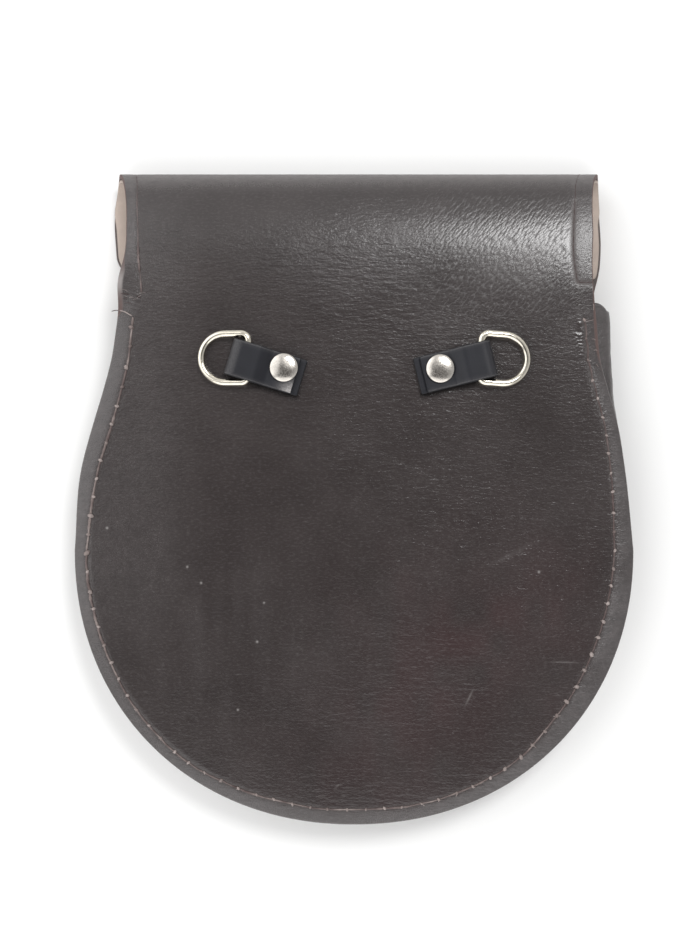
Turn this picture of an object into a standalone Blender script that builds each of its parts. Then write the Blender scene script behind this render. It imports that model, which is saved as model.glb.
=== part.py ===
"""A plain leather sporran pouch lying on its front, in metres, with +Z up.

The origin is on the table under the middle of the pouch, and the fold of the flap is at +Y.
The back panel, the fold and the flap are one leather cut flat and bent over the fold, so a place on
that cut is given as (across, along). Across is X. Along is the distance from the crest of the fold,
positive down the back panel and negative down the flap.
"""

import math
from collections import namedtuple

import bmesh
import bpy
import numpy as np
from mathutils.geometry import delaunay_2d_cdt

# Leather thicknesses, and the gap that neighbours keep
LEATHER = 0.0016
LINING = 0.0010
GUSSET = 0.0013
STRAP = 0.0012
GAP = 0.0003

# The body of the pouch
BODY_HEIGHT = 0.0200
FOLD_RADIUS = BODY_HEIGHT / 2
FOLD_CREST_Y = 0.10475
FOLD_QUARTER = math.pi / 2 * FOLD_RADIUS
ALONG_TO_Y = FOLD_CREST_Y - FOLD_RADIUS + FOLD_QUARTER
ROUND_START = 0.1270
ROUND_HALF_WIDTH = 0.0890
ROUND_DEPTH = 0.0874
ROUND_POWER = 2.1
FLAP_ROUND_START = -0.0360
FLAP_LENGTH = 0.1045

# The seam margin rolls down outside the stitching, faster towards its edge
MARGIN = 0.0055
MARGIN_DROP = 0.0014
MARGIN_SLOPE = 0.4
MARGIN_RINGS = (0.0028, 0.0055, 0.0095)
MOUTH_ALONG = 0.0480
MARGIN_FADE = 0.0120

# The edges of the cut, worked out from the flap to the round bottom
Edge = namedtuple("Edge", "along left right")
CUT_EDGES = (
    Edge(-0.036, -0.0779, 0.0810),
    Edge(-0.028, -0.0785, 0.0814),
    Edge(-0.020, -0.0789, 0.0810),
    Edge(-0.008, -0.0774, 0.0798),
    Edge(0.000, -0.0760, 0.0788),
    Edge(0.008, -0.0742, 0.0770),
    Edge(0.016, -0.0730, 0.0760),
    Edge(0.026, -0.0726, 0.0758),
    Edge(0.036, -0.0727, 0.0755),
    Edge(0.046, -0.0738, 0.0763),
    Edge(0.056, -0.0757, 0.0774),
    Edge(0.066, -0.0773, 0.0784),
    Edge(0.076, -0.0799, 0.0810),
    Edge(0.086, -0.0829, 0.0838),
    Edge(0.101, -0.0869, 0.0863),
    Edge(0.127, -0.0890, 0.0890),
)

# How finely the leather is divided
SIDE_STEP = 0.008
FLAP_STEP = 0.005
FOLD_STEPS = 14
ROUND_STEPS = 32
FLAP_ROUND_STEPS = 22
ROW_STEP = 0.024
PANEL_GRID = 0.017
GRID_ROW = PANEL_GRID * math.sqrt(3) / 2
GRID_HALF_COUNT = 6
SPOT_CLEAR = 0.0068
MARGIN_CLEAR = 0.0145
TOP_CLEAR = 0.0010
SHARP_EDGE = math.radians(35)
SAME_PLACE = 1e-7

# The lining
LINING_END = 0.0425
LINING_INSET = 0.0008

# The front panel, which lies over the flap and comes down to the table round the flap's tip
FRONT_TOP_Y = 0.0580
FLAP_STACK = LEATHER + GAP + LINING + GAP
STEP_CLEAR = 0.0012
STEP_REACH = 0.0200
STEP_RINGS = 4
STEP_TOP_CLEAR = 0.0040
STEP_MARGIN_CLEAR = 0.0020
FRONT_GRID_DROP = 0.0080

# The gusset, whose seam margins are turned in and whose wall bows out, most at the right of the mouth
SEAM_MARGIN = 0.0085
SEAM_INSET = 0.0008
BOW = 0.0008
MOUTH_BOW = 0.0046
MOUTH_BOW_REACH = 0.0230
WALL_POINTS = 7

# The closing stud
STUD_X = 0.0013
STUD_Y = 0.0240
STUD_DISC_RADIUS = 0.0070
STUD_DISC = 0.0016
STUD_POST_RADIUS = 0.0017
STUD_WASHER_RADIUS = 0.0045
STUD_WASHER = 0.0010
STUD_BUMP_FLAT = 0.0085
STUD_BUMP_RADIUS = 0.0230
BUMP_CLEAR = 0.0060

# The tabs, rings and rivets
TAB_WIDTH = 0.0118
TAB_SETBACK = 0.0020
LOOP_TO_BAR = 0.0060
LOOP_CREST = 0.0025
LOOP_SLOPE = 0.0050
LOOP_STEPS = 8
SLOPE_STEPS = 6
WIRE_RADIUS = 0.0010
RING_BOW_RADIUS = 0.0077
RING_ARM = 0.0073
RING_CORNER = 0.0022
RING_TILT = math.radians(6.5)
RING_BOW_STEPS = 14
RING_CORNER_STEPS = 3
BAR_CLEARANCE = 0.0006
RIVET_CAP_RADIUS = 0.0045
RIVET_RIM = 0.0005
RIVET_POST_RADIUS = 0.0014
HOLE_CLEARANCE = 0.0004
INNER_CAP = 0.0010
ROUND_SIDES = 20
HOLE_SIDES = 10
WIRE_SIDES = 8

# One row for each strap tab: the middle of its free end and of its loop, its rivet, and its ring's bar
Tab = namedtuple("Tab", "side end_x end_y loop_x loop_y rivet_x rivet_y bar_x bar_y ring_turn")
TABS = (
    Tab("left", -0.0164, 0.0380, -0.0395, 0.0450, -0.0222, 0.0413, -0.0335, 0.0444, 180.0),
    Tab("right", 0.0200, 0.0386, 0.0441, 0.0444, 0.0272, 0.0410, 0.0399, 0.0446, -4.0),
)

# The domed top of a rivet's cap above its rim
Dome = namedtuple("Dome", "radius rise")
RIVET_DOME = (Dome(0.00378, 0.00063), Dome(0.00225, 0.00090), Dome(0.0, 0.00100))

# The colours, roughness and metallic value of each finish
Finish = namedtuple("Finish", "name colour roughness metallic")
BROWN_LEATHER = Finish("brown_leather", (0.060, 0.048, 0.046), 0.42, 0.0)
FLESH_LINING = Finish("pale_lining", (0.52, 0.40, 0.34), 0.85, 0.0)
STRAP_LEATHER = Finish("strap_leather", (0.030, 0.030, 0.040), 0.35, 0.0)
BRIGHT_STEEL = Finish("nickel_wire", (0.70, 0.68, 0.62), 0.18, 1.0)
CAP_STEEL = Finish("rivet_nickel", (0.62, 0.58, 0.54), 0.30, 1.0)


def clear_scene():
    for thing in list(bpy.data.objects):
        bpy.data.objects.remove(thing, do_unlink=True)


def material(finish):
    made = bpy.data.materials.get(finish.name) or bpy.data.materials.new(finish.name)
    made.use_nodes = True
    shader = made.node_tree.nodes["Principled BSDF"]
    shader.inputs["Base Color"].default_value = (*finish.colour, 1.0)
    shader.inputs["Roughness"].default_value = finish.roughness
    shader.inputs["Metallic"].default_value = finish.metallic
    return made


def add_object(name, points, faces, finish):
    mesh = bpy.data.meshes.new(name)
    mesh.from_pydata([tuple(float(v) for v in p) for p in points], [], faces)
    work = bmesh.new()
    work.from_mesh(mesh)
    bmesh.ops.recalc_face_normals(work, faces=work.faces)
    work.to_mesh(mesh)
    work.free()
    mesh.shade_smooth()
    mesh.set_sharp_from_angle(angle=SHARP_EDGE)
    mesh.materials.append(material(finish))
    made = bpy.data.objects.new(name, mesh)
    bpy.context.scene.collection.objects.link(made)
    return made


def smoothstep(value, low, high):
    t = min(max((value - low) / (high - low), 0.0), 1.0)
    return t * t * (3 - 2 * t)


def edge_at(along, side):
    """The place across of the cut's left or right edge, smooth through the rows of CUT_EDGES."""
    rows = [row.along for row in CUT_EDGES]
    places = [getattr(row, side) for row in CUT_EDGES]
    slopes = np.gradient(places, rows)
    i = min(max(int(np.searchsorted(rows, along)) - 1, 0), len(rows) - 2)
    step = rows[i + 1] - rows[i]
    t = (along - rows[i]) / step
    start = (2 * t**3 - 3 * t**2 + 1) * places[i] + (t**3 - 2 * t**2 + t) * step * slopes[i]
    end = (3 * t**2 - 2 * t**3) * places[i + 1] + (t**3 - t**2) * step * slopes[i + 1]
    return float(start + end)


def evenly(start, stop, step):
    """Values from start to stop, both included, about step apart."""
    return np.linspace(start, stop, max(1, round(abs(stop - start) / step)) + 1)


def side_places(start, stop):
    """Places along one side, close together over the fold."""
    parts = (
        evenly(FLAP_ROUND_START, -FOLD_QUARTER, FLAP_STEP),
        np.linspace(-FOLD_QUARTER, FOLD_QUARTER, FOLD_STEPS + 1),
        evenly(FOLD_QUARTER, MOUTH_ALONG, SIDE_STEP),
        evenly(MOUTH_ALONG, ROUND_START, SIDE_STEP),
    )
    places = np.sort(np.concatenate(parts))
    apart = np.concatenate([[True], np.diff(places) > SAME_PLACE])
    return [float(a) for a in places[apart] if start - SAME_PLACE <= a <= stop + SAME_PLACE]


def round_bottom():
    """The round end of the back panel as (across, along), from right to left without its ends."""
    points = []
    for i in range(1, ROUND_STEPS):
        angle = math.pi * i / ROUND_STEPS
        c = math.cos(angle)
        across = math.copysign(abs(c) ** (2 / ROUND_POWER), c) * ROUND_HALF_WIDTH
        points.append((across, ROUND_START + math.sin(angle) ** (2 / ROUND_POWER) * ROUND_DEPTH))
    return points


def round_flap(inset=0.0):
    """The round end of the flap as (across, along), from left to right without its ends."""
    left = edge_at(FLAP_ROUND_START, "left") + inset
    right = edge_at(FLAP_ROUND_START, "right") - inset
    depth = FLAP_LENGTH + FLAP_ROUND_START - inset
    points = []
    for i in range(1, FLAP_ROUND_STEPS):
        angle = math.pi * i / FLAP_ROUND_STEPS
        across = (left + right) / 2 - (right - left) / 2 * math.cos(angle)
        points.append((across, FLAP_ROUND_START - depth * math.sin(angle)))
    return points


def body_edge():
    """The U of the back panel's edge as (x, y), from the right end of the mouth to the left one."""
    places = side_places(MOUTH_ALONG, ROUND_START)
    right = [(edge_at(a, "right"), ALONG_TO_Y - a) for a in places]
    left = [(edge_at(a, "left"), ALONG_TO_Y - a) for a in reversed(places)]
    bottom = [(x, ALONG_TO_Y - a) for x, a in round_bottom()]
    return np.array(right + bottom + left)


def outward(path, middle=(0.0, 0.0)):
    """The unit normal of each point of a line in plan, pointing away from a middle."""
    run = np.gradient(path, axis=0)
    normal = np.stack([-run[:, 1], run[:, 0]], axis=1)
    normal /= np.linalg.norm(normal, axis=1)[:, None]
    inside = np.array(middle) - path
    return np.where((normal * inside).sum(1)[:, None] > 0, -normal, normal)


def flap_edge():
    """The flap's edge in plan as (x, y), from its left side round the tip to its right side."""
    places = side_places(FLAP_ROUND_START, -FOLD_QUARTER)
    left = [(edge_at(a, "left"), ALONG_TO_Y + a) for a in reversed(places)]
    right = [(edge_at(a, "right"), ALONG_TO_Y + a) for a in places]
    return left + [(x, ALONG_TO_Y + a) for x, a in round_flap()] + right


U_EDGE = body_edge()
FLAP_EDGE = flap_edge()


def line_distance(x, y, line):
    """How far a place in plan is from an open line of points."""
    run = np.diff(line, axis=0)
    t = ((x - line[:-1, 0]) * run[:, 0] + (y - line[:-1, 1]) * run[:, 1]) / (run**2).sum(1)
    near = line[:-1] + np.clip(t, 0, 1)[:, None] * run
    return float(np.hypot(near[:, 0] - x, near[:, 1] - y).min())


def edge_distance(x, y):
    """How far a place in plan is from the U of the body's edge."""
    return line_distance(x, y, U_EDGE)


def margin_drop(distance, y):
    """How far the margin has rolled down at this distance in from the edge."""
    share = max(0.0, 1 - distance / MARGIN)
    fade = smoothstep(ALONG_TO_Y - MOUTH_ALONG - y, -MARGIN_FADE / 2, MARGIN_FADE)
    return MARGIN_DROP * share * (MARGIN_SLOPE + (1 - MARGIN_SLOPE) * share) * fade


def bend(across, along, depth):
    """The place in space of a point of the cut, depth below its grain face."""
    radius = FOLD_RADIUS - depth
    if abs(along) <= FOLD_QUARTER:
        angle = along / FOLD_RADIUS
        y = FOLD_CREST_Y - FOLD_RADIUS + radius * math.cos(angle)
        return (across, y, FOLD_RADIUS + radius * math.sin(angle))
    y = ALONG_TO_Y - abs(along)
    if along < 0:
        return (across, y, depth)
    drop = margin_drop(edge_distance(across, y), y) if along > MOUTH_ALONG - MARGIN_FADE else 0.0
    return (across, y, BODY_HEIGHT - depth - drop)


def stud_bump(x, y):
    """How far the front panel is lifted over the disc of the stud."""
    away = math.hypot(x - STUD_X, y - STUD_Y)
    return (STUD_DISC + GAP) * (1 - smoothstep(away, STUD_BUMP_FLAT, STUD_BUMP_RADIUS))


def flap_distance(x, y):
    """How far a place in plan is outside the round end of the flap, and 0 over the flap."""
    if inside_loop((x, y), FLAP_EDGE):
        return 0.0
    return line_distance(x, y, np.array(FLAP_EDGE))


def front_base(x, y):
    """The height of the front panel's outer face, without its margin and the stud."""
    return FLAP_STACK * (1 - smoothstep(flap_distance(x, y), STEP_CLEAR, STEP_REACH))


def front_place(x, y, depth):
    """The place in space of a point of the front panel, depth above its outer face."""
    rise = margin_drop(edge_distance(x, y), y)
    return (x, y, front_base(x, y) + stud_bump(x, y) + rise + depth)


def circle(x, y, radius, sides):
    turns = [2 * math.pi * i / sides for i in range(sides)]
    return [(x + radius * math.cos(t), y + radius * math.sin(t)) for t in turns]


def inside_loop(point, loop):
    x, y = point
    crossed = False
    for (x1, y1), (x2, y2) in zip(loop, loop[1:] + loop[:1]):
        if (y1 > y) != (y2 > y) and x < (x2 - x1) * (y - y1) / (y2 - y1) + x1:
            crossed = not crossed
    return crossed


def triangles_of(outline, holes, lines):
    """Triangles over a flat cut: its outline, its holes, and open lines that stay edges."""
    points = []
    edges = []
    for loop in [outline, *holes]:
        first = len(points)
        points += loop
        edges += [(first + i, first + (i + 1) % len(loop)) for i in range(len(loop))]
    for line in lines:
        first = len(points)
        points += line
        edges += [(first + i, first + i + 1) for i in range(len(line) - 1)]
    flat, _, faces, *_ = delaunay_2d_cdt([tuple(p) for p in points], edges, [], 0, SAME_PLACE)
    flat = [(p[0], p[1]) for p in flat]
    kept = []
    for face in faces:
        middle = tuple(sum(flat[i][k] for i in face) / 3 for k in (0, 1))
        if inside_loop(middle, outline) and not any(inside_loop(middle, h) for h in holes):
            kept.append(tuple(face))
    used = sorted({i for face in kept for i in face})
    place = {old: new for new, old in enumerate(used)}
    return [flat[i] for i in used], [tuple(place[i] for i in face) for face in kept]


def leather_solid(name, outline, holes, lines, place, depths, finish):
    """One closed leather piece: the cut at both depths, joined round its edge and holes."""
    flat, faces = triangles_of(outline, holes, lines)
    count = len(flat)
    points = [place(x, y, depth) for depth in depths for x, y in flat]
    border = {}
    for face in faces:
        for a, b in zip(face, face[1:] + face[:1]):
            if (b, a) in border:
                del border[(b, a)]
            else:
                border[(a, b)] = True
    walls = [(b, a, a + count, b + count) for a, b in border]
    under = [tuple(i + count for i in reversed(face)) for face in faces]
    return add_object(name, points, list(faces) + under + walls, finish)


def margin_lines():
    """Lines in plan that follow the U inside its edge, where the margin bends."""
    rings = [U_EDGE - outward(U_EDGE) * inset for inset in MARGIN_RINGS]
    return [[(float(x), float(y)) for x, y in ring] for ring in rings]


def grid_points(high_y, taken):
    """Loose points over a panel's flat middle, clear of its margin and of each (x, y, radius) taken."""
    low_y = ALONG_TO_Y - ROUND_START - ROUND_DEPTH
    loop = [tuple(p) for p in U_EDGE]
    points = []
    counts = np.arange(-GRID_HALF_COUNT, GRID_HALF_COUNT + 1)
    for k, y in enumerate(evenly(high_y, low_y, GRID_ROW)):
        for x in counts * PANEL_GRID + (PANEL_GRID / 2 if k % 2 else 0.0):
            clear = all(math.hypot(x - tx, y - ty) > radius for tx, ty, radius in taken)
            if clear and inside_loop((x, y), loop) and edge_distance(x, y) > MARGIN_CLEAR:
                points.append((float(x), float(y)))
    return points


def step_lines():
    """Lines in plan round the tip of the flap, where the front panel comes down to the table."""
    edge = np.array([p for p in FLAP_EDGE if p[1] < FRONT_TOP_Y])
    normal = outward(edge, (0.0, FRONT_TOP_Y))
    lines = []
    for out in np.linspace(STEP_CLEAR, STEP_REACH, STEP_RINGS):
        ring = edge + normal * out
        lines.append([tuple(p) for p in ring.tolist() if is_clear_of_margin(*p)])
    return lines


def is_clear_of_margin(x, y):
    inside = inside_loop((x, y), [tuple(p) for p in U_EDGE])
    below_top = y < FRONT_TOP_Y - STEP_TOP_CLEAR
    return inside and below_top and edge_distance(x, y) > MARGIN_RINGS[-1] + STEP_MARGIN_CLEAR


def to_cut(line):
    """A line in plan on the back panel, given on the cut."""
    return [(x, ALONG_TO_Y - y) for x, y in line]


def fold_rows(start, stop, inset=0.0):
    """Lines from edge to edge across the cut, one for each step over the fold."""
    rows = []
    for along in side_places(start, stop):
        left = edge_at(along, "left") + inset
        right = edge_at(along, "right") - inset
        across = evenly(left, right, ROW_STEP)
        rows.append([(float(x), along) for x in across])
    return rows


def back_and_flap():
    places = side_places(FLAP_ROUND_START, ROUND_START)
    right = [(edge_at(a, "right"), a) for a in places]
    left = [(edge_at(a, "left"), a) for a in reversed(places)]
    outline = round_flap() + right + round_bottom() + left
    spots = [(tab.rivet_x, tab.rivet_y) for tab in TABS]
    radius = RIVET_POST_RADIUS + HOLE_CLEARANCE
    holes = [to_cut(circle(x, y, radius, HOLE_SIDES)) for x, y in spots]
    lines = fold_rows(FLAP_ROUND_START, FOLD_QUARTER)
    lines += [to_cut(line) for line in margin_lines()]
    taken = [(x, y, SPOT_CLEAR) for x, y in spots]
    lines += [to_cut([p]) for p in grid_points(ALONG_TO_Y - MOUTH_ALONG - PANEL_GRID, taken)]
    lines += fold_rows(MOUTH_ALONG - MARGIN_FADE, MOUTH_ALONG - MARGIN_FADE / 2)
    return leather_solid("back_and_flap", outline, holes, lines, bend, (0.0, LEATHER), BROWN_LEATHER)


def flap_lining():
    places = side_places(FLAP_ROUND_START, LINING_END) + [LINING_END]
    right = [(edge_at(a, "right") - LINING_INSET, a) for a in places]
    left = [(edge_at(a, "left") + LINING_INSET, a) for a in reversed(places)]
    outline = round_flap(LINING_INSET) + right + left
    lines = fold_rows(FLAP_ROUND_START, FOLD_QUARTER, LINING_INSET)
    depths = (LEATHER + GAP, LEATHER + GAP + LINING)
    return leather_solid("flap_lining", outline, [], lines, bend, depths, FLESH_LINING)


def front_panel():
    below_top = [tuple(p) for p in U_EDGE if p[1] < FRONT_TOP_Y - TOP_CLEAR]
    right = edge_at(ALONG_TO_Y - FRONT_TOP_Y, "right")
    left = edge_at(ALONG_TO_Y - FRONT_TOP_Y, "left")
    inner = MARGIN_RINGS[-1]
    across = [right, *(left + r for r in (0.0, *MARGIN_RINGS)), *(right - r for r in MARGIN_RINGS)]
    across += [float(x) for x in evenly(left + inner, right - inner, ROW_STEP)[1:-1]]
    top = [(x, FRONT_TOP_Y) for x in sorted(across)]
    outline = [*below_top, *top]
    hole = circle(STUD_X, STUD_Y, STUD_POST_RADIUS + HOLE_CLEARANCE, HOLE_SIDES)
    lines = [[p for p in line if p[1] < FRONT_TOP_Y - TOP_CLEAR] for line in margin_lines()]
    for radius in (STUD_BUMP_FLAT, (STUD_BUMP_FLAT + STUD_BUMP_RADIUS) / 2, STUD_BUMP_RADIUS):
        ring = circle(STUD_X, STUD_Y, radius, ROUND_SIDES)
        lines.append(ring + ring[:1])
    steps = step_lines()
    lines += steps
    taken = [(STUD_X, STUD_Y, STUD_BUMP_RADIUS + BUMP_CLEAR)]
    taken += [(x, y, SPOT_CLEAR) for line in steps for x, y in line]
    lines += [[p] for p in grid_points(FRONT_TOP_Y - FRONT_GRID_DROP, taken)]
    return leather_solid("front_panel", outline, [hole], lines, front_place, (0.0, LEATHER), BROWN_LEATHER)


def upper_seam(inset, place):
    """The height of the gusset's grain face under the margin of the back panel."""
    return BODY_HEIGHT - LEATHER - GAP - margin_drop(inset, place[1])


def lower_seam(inset, place):
    """The height of the gusset's grain face on the margin of the front panel."""
    return front_base(*place) + LEATHER + GAP + margin_drop(inset, place[1])


def loft(name, sections, finish):
    """One closed piece through sections of equal length, with flat ends."""
    count = len(sections[0])
    points = [p for section in sections for p in section]
    faces = [tuple(range(count)), tuple(range(len(points) - 1, len(points) - count - 1, -1))]
    for i in range(len(sections) - 1):
        for j in range(count):
            a = i * count + j
            b = i * count + (j + 1) % count
            faces.append((a, a + count, b + count, b))
    return add_object(name, points, faces, finish)


def seam_margin(name, height, thickness):
    """A turned-in seam margin of the gusset, a band that follows the U against a panel."""
    insets = (SEAM_MARGIN, MARGIN_RINGS[1], MARGIN_RINGS[0], SEAM_INSET)
    sections = []
    for edge, normal in zip(U_EDGE, outward(U_EDGE)):
        places = [edge - normal * inset for inset in insets]
        grain = [(*place, height(inset, place)) for inset, place in zip(insets, places)]
        sections.append(grain + [(x, y, z + thickness) for x, y, z in reversed(grain)])
    return loft(name, sections, BROWN_LEATHER)


def wall_line(distance, edge, normal):
    """The grain face of the gusset's wall as (outward, z), from its upper to its lower seam."""
    seam = edge - normal * SEAM_INSET
    high = upper_seam(SEAM_INSET, seam) - GUSSET - GAP
    low = lower_seam(SEAM_INSET, seam) + GUSSET + GAP
    bow = SEAM_INSET + BOW + MOUTH_BOW * math.exp(-((distance / MOUTH_BOW_REACH) ** 2))
    shares = np.linspace(0.0, 1.0, WALL_POINTS)
    return np.stack([bow * np.sin(math.pi * shares) - SEAM_INSET, high + (low - high) * shares], axis=1)


def thickened(line):
    """A closed section: the grain face, then the flesh face a gusset's thickness inside it."""
    run = np.gradient(line, axis=0)
    normal = np.stack([-run[:, 1], run[:, 0]], axis=1)
    normal /= np.linalg.norm(normal, axis=1)[:, None]
    return np.concatenate([line, (line - normal * GUSSET)[::-1]])


def gusset():
    """The wall of the gusset, round the U between its two seam margins."""
    run = np.linalg.norm(np.diff(U_EDGE, axis=0), axis=1)
    distances = np.concatenate([[0], np.cumsum(run)])
    sections = []
    for distance, edge, normal in zip(distances, U_EDGE, outward(U_EDGE)):
        section = thickened(wall_line(distance, edge, normal))
        sections.append([(*(edge + normal * out), z) for out, z in section])
    return loft("gusset", sections, BROWN_LEATHER)


def turned(name, x, y, profile, finish):
    """A turned solid about a vertical axis through a profile of (radius, z), closed at both ends."""
    points = []
    for radius, z in profile[1:-1]:
        points += [(px, py, z) for px, py in circle(x, y, radius, ROUND_SIDES)]
    bottom = len(points)
    points += [(x, y, profile[0][1]), (x, y, profile[-1][1])]
    faces = []
    rings = len(profile) - 2
    for j in range(ROUND_SIDES):
        k = (j + 1) % ROUND_SIDES
        faces.append((bottom, k, j))
        last = (rings - 1) * ROUND_SIDES
        faces.append((bottom + 1, last + j, last + k))
        for i in range(rings - 1):
            a = i * ROUND_SIDES
            faces.append((a + j, a + k, a + ROUND_SIDES + k, a + ROUND_SIDES + j))
    return add_object(name, points, faces, finish)


def closing_stud():
    disc_low = FLAP_STACK
    disc_high = disc_low + STUD_DISC
    washer_low = disc_high + GAP + LEATHER + GAP
    profile = [
        (0.0, disc_low),
        (STUD_DISC_RADIUS, disc_low),
        (STUD_DISC_RADIUS, disc_high),
        (STUD_POST_RADIUS, disc_high),
        (STUD_POST_RADIUS, washer_low),
        (STUD_WASHER_RADIUS, washer_low),
        (STUD_WASHER_RADIUS, washer_low + STUD_WASHER),
        (0.0, washer_low + STUD_WASHER),
    ]
    return turned("closing_stud", STUD_X, STUD_Y, profile, CAP_STEEL)


def rivet(tab):
    inner_top = BODY_HEIGHT - LEATHER - GAP
    cap_low = BODY_HEIGHT + 3 * GAP + 2 * STRAP
    profile = [
        (0.0, inner_top - INNER_CAP),
        (RIVET_CAP_RADIUS, inner_top - INNER_CAP),
        (RIVET_CAP_RADIUS, inner_top),
        (RIVET_POST_RADIUS, inner_top),
        (RIVET_POST_RADIUS, cap_low),
        (RIVET_CAP_RADIUS, cap_low),
        (RIVET_CAP_RADIUS, cap_low + RIVET_RIM),
        *((row.radius, cap_low + RIVET_RIM + row.rise) for row in RIVET_DOME),
    ]
    return turned(f"rivet_{tab.side}", tab.rivet_x, tab.rivet_y, profile, CAP_STEEL)


def bar_height():
    """The height of the middle of a ring's bar, inside the loop of its tab."""
    return BODY_HEIGHT + GAP + STRAP + BAR_CLEARANCE + WIRE_RADIUS


def tab_frame(tab):
    """The length of a tab, and the directions along it and across it."""
    run = np.array([tab.loop_x - tab.end_x, tab.loop_y - tab.end_y])
    length = float(np.linalg.norm(run))
    along = run / length
    return length, along, np.array([-along[1], along[0]])


def tab_section(length):
    """The strap's middle line as (along, z), from its free end round the loop to the upper end."""
    low = BODY_HEIGHT + GAP + STRAP / 2
    high = bar_height() + WIRE_RADIUS + GAP + STRAP / 2
    flat = low + STRAP + GAP
    radius = (high - low) / 2
    turn = length - radius - STRAP / 2
    crest = length - LOOP_TO_BAR - LOOP_CREST
    foot = crest - LOOP_SLOPE
    line = [(0.0, low), (turn, low)]
    for i in range(1, LOOP_STEPS):
        angle = math.pi * i / LOOP_STEPS
        line.append((turn + radius * math.sin(angle), low + radius * (1 - math.cos(angle))))
    line += [(turn, high), (crest, high)]
    for i in range(1, SLOPE_STEPS):
        t = i / SLOPE_STEPS
        line.append((crest + (foot - crest) * t, high + (flat - high) * smoothstep(t, 0, 1)))
    line += [(foot, flat), (TAB_SETBACK, flat)]
    return np.array(line)


def strap_outline(line):
    """Both faces of a strap whose middle line is given, as one closed section."""
    run = np.diff(line, axis=0)
    run /= np.linalg.norm(run, axis=1)[:, None]
    before = np.concatenate([run[:1], run])
    after = np.concatenate([run, run[-1:]])
    middle = before + after
    middle /= np.linalg.norm(middle, axis=1)[:, None]
    reach = STRAP / 2 / (middle * before).sum(1)
    normal = np.stack([-middle[:, 1], middle[:, 0]], axis=1) * reach[:, None]
    return line + normal, line - normal


def strap_tab(tab):
    """A folded strap with a hole for its rivet through both layers."""
    length, along, across = tab_frame(tab)
    start = np.array([tab.end_x, tab.end_y])
    upper, lower = strap_outline(tab_section(length))
    section = np.concatenate([upper, lower[::-1]])
    sections = []
    for side in (-TAB_WIDTH / 2, TAB_WIDTH / 2):
        flat = [start + along * a + across * side for a, _ in section]
        sections.append([(p[0], p[1], z) for p, (_, z) in zip(flat, section)])
    made = loft(f"tab_{tab.side}", sections, STRAP_LEATHER)
    bpy.ops.mesh.primitive_cylinder_add(
        vertices=HOLE_SIDES,
        radius=RIVET_POST_RADIUS + HOLE_CLEARANCE,
        depth=BODY_HEIGHT,
        location=(tab.rivet_x, tab.rivet_y, BODY_HEIGHT),
    )
    cutter = bpy.context.object
    cutter.name = f"hole_cutter_{tab.side}"
    cutter.hide_render = True
    cutter.display_type = "WIRE"
    cut = made.modifiers.new("rivet_hole", "BOOLEAN")
    cut.operation = "DIFFERENCE"
    cut.solver = "EXACT"
    cut.object = cutter
    return made


def ring_path():
    """The middle line of a ring in its own plane: the bar at 0 and the bow at +X."""
    half = RING_BOW_RADIUS
    corner = RING_CORNER
    points = []
    for i in range(RING_BOW_STEPS + 1):
        angle = math.pi / 2 - math.pi * i / RING_BOW_STEPS
        points.append((RING_ARM + half * math.cos(angle), half * math.sin(angle)))
    quarter = [math.pi / 2 * i / RING_CORNER_STEPS for i in range(RING_CORNER_STEPS + 1)]
    points += [(corner * (1 - math.sin(a)), -half + corner * (1 - math.cos(a))) for a in quarter]
    points += [(corner * (1 - math.cos(a)), half - corner * (1 - math.sin(a))) for a in quarter]
    return np.array(points)


def d_ring(tab):
    """A closed wire ring, its bar in the loop of the tab and its bow down on the back panel."""
    path = ring_path()
    run = np.roll(path, -1, axis=0) - np.roll(path, 1, axis=0)
    run /= np.linalg.norm(run, axis=1)[:, None]
    side = np.stack([-run[:, 1], run[:, 0]], axis=1)
    turn = math.radians(tab.ring_turn)
    points = []
    for (px, py), (sx, sy) in zip(path, side):
        for j in range(WIRE_SIDES):
            angle = 2 * math.pi * (j + 0.5) / WIRE_SIDES
            x = px + sx * WIRE_RADIUS * math.cos(angle)
            y = py + sy * WIRE_RADIUS * math.cos(angle)
            z = WIRE_RADIUS * math.sin(angle)
            down = x * math.cos(RING_TILT) + z * math.sin(RING_TILT)
            height = bar_height() - x * math.sin(RING_TILT) + z * math.cos(RING_TILT)
            world_x = tab.bar_x + down * math.cos(turn) - y * math.sin(turn)
            world_y = tab.bar_y + down * math.sin(turn) + y * math.cos(turn)
            points.append((world_x, world_y, height))
    faces = []
    count = len(path)
    for i in range(count):
        for j in range(WIRE_SIDES):
            a = i * WIRE_SIDES + j
            b = i * WIRE_SIDES + (j + 1) % WIRE_SIDES
            c = (i + 1) % count * WIRE_SIDES
            faces.append((a, c + j, c + (j + 1) % WIRE_SIDES, b))
    return add_object(f"d_ring_{tab.side}", points, faces, BRIGHT_STEEL)


def main():
    clear_scene()
    back_and_flap()
    flap_lining()
    front_panel()
    seam_margin("gusset_seam_upper", upper_seam, -GUSSET)
    gusset()
    seam_margin("gusset_seam_lower", lower_seam, GUSSET)
    closing_stud()
    for tab in TABS:
        strap_tab(tab)
        d_ring(tab)
        rivet(tab)


main()
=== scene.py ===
# A plain leather sporran pouch lying on its front on a pale table, seen from above its back.
# The back panel, the fold and the flap are one leather cut flat and bent over the fold, so a place on that
# cut is (across, along): across is X, and along is the distance from the crest of the fold, positive down
# the back panel and negative down the flap. Lengths are in metres, and +Z is up.
import math
from collections import namedtuple

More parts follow.
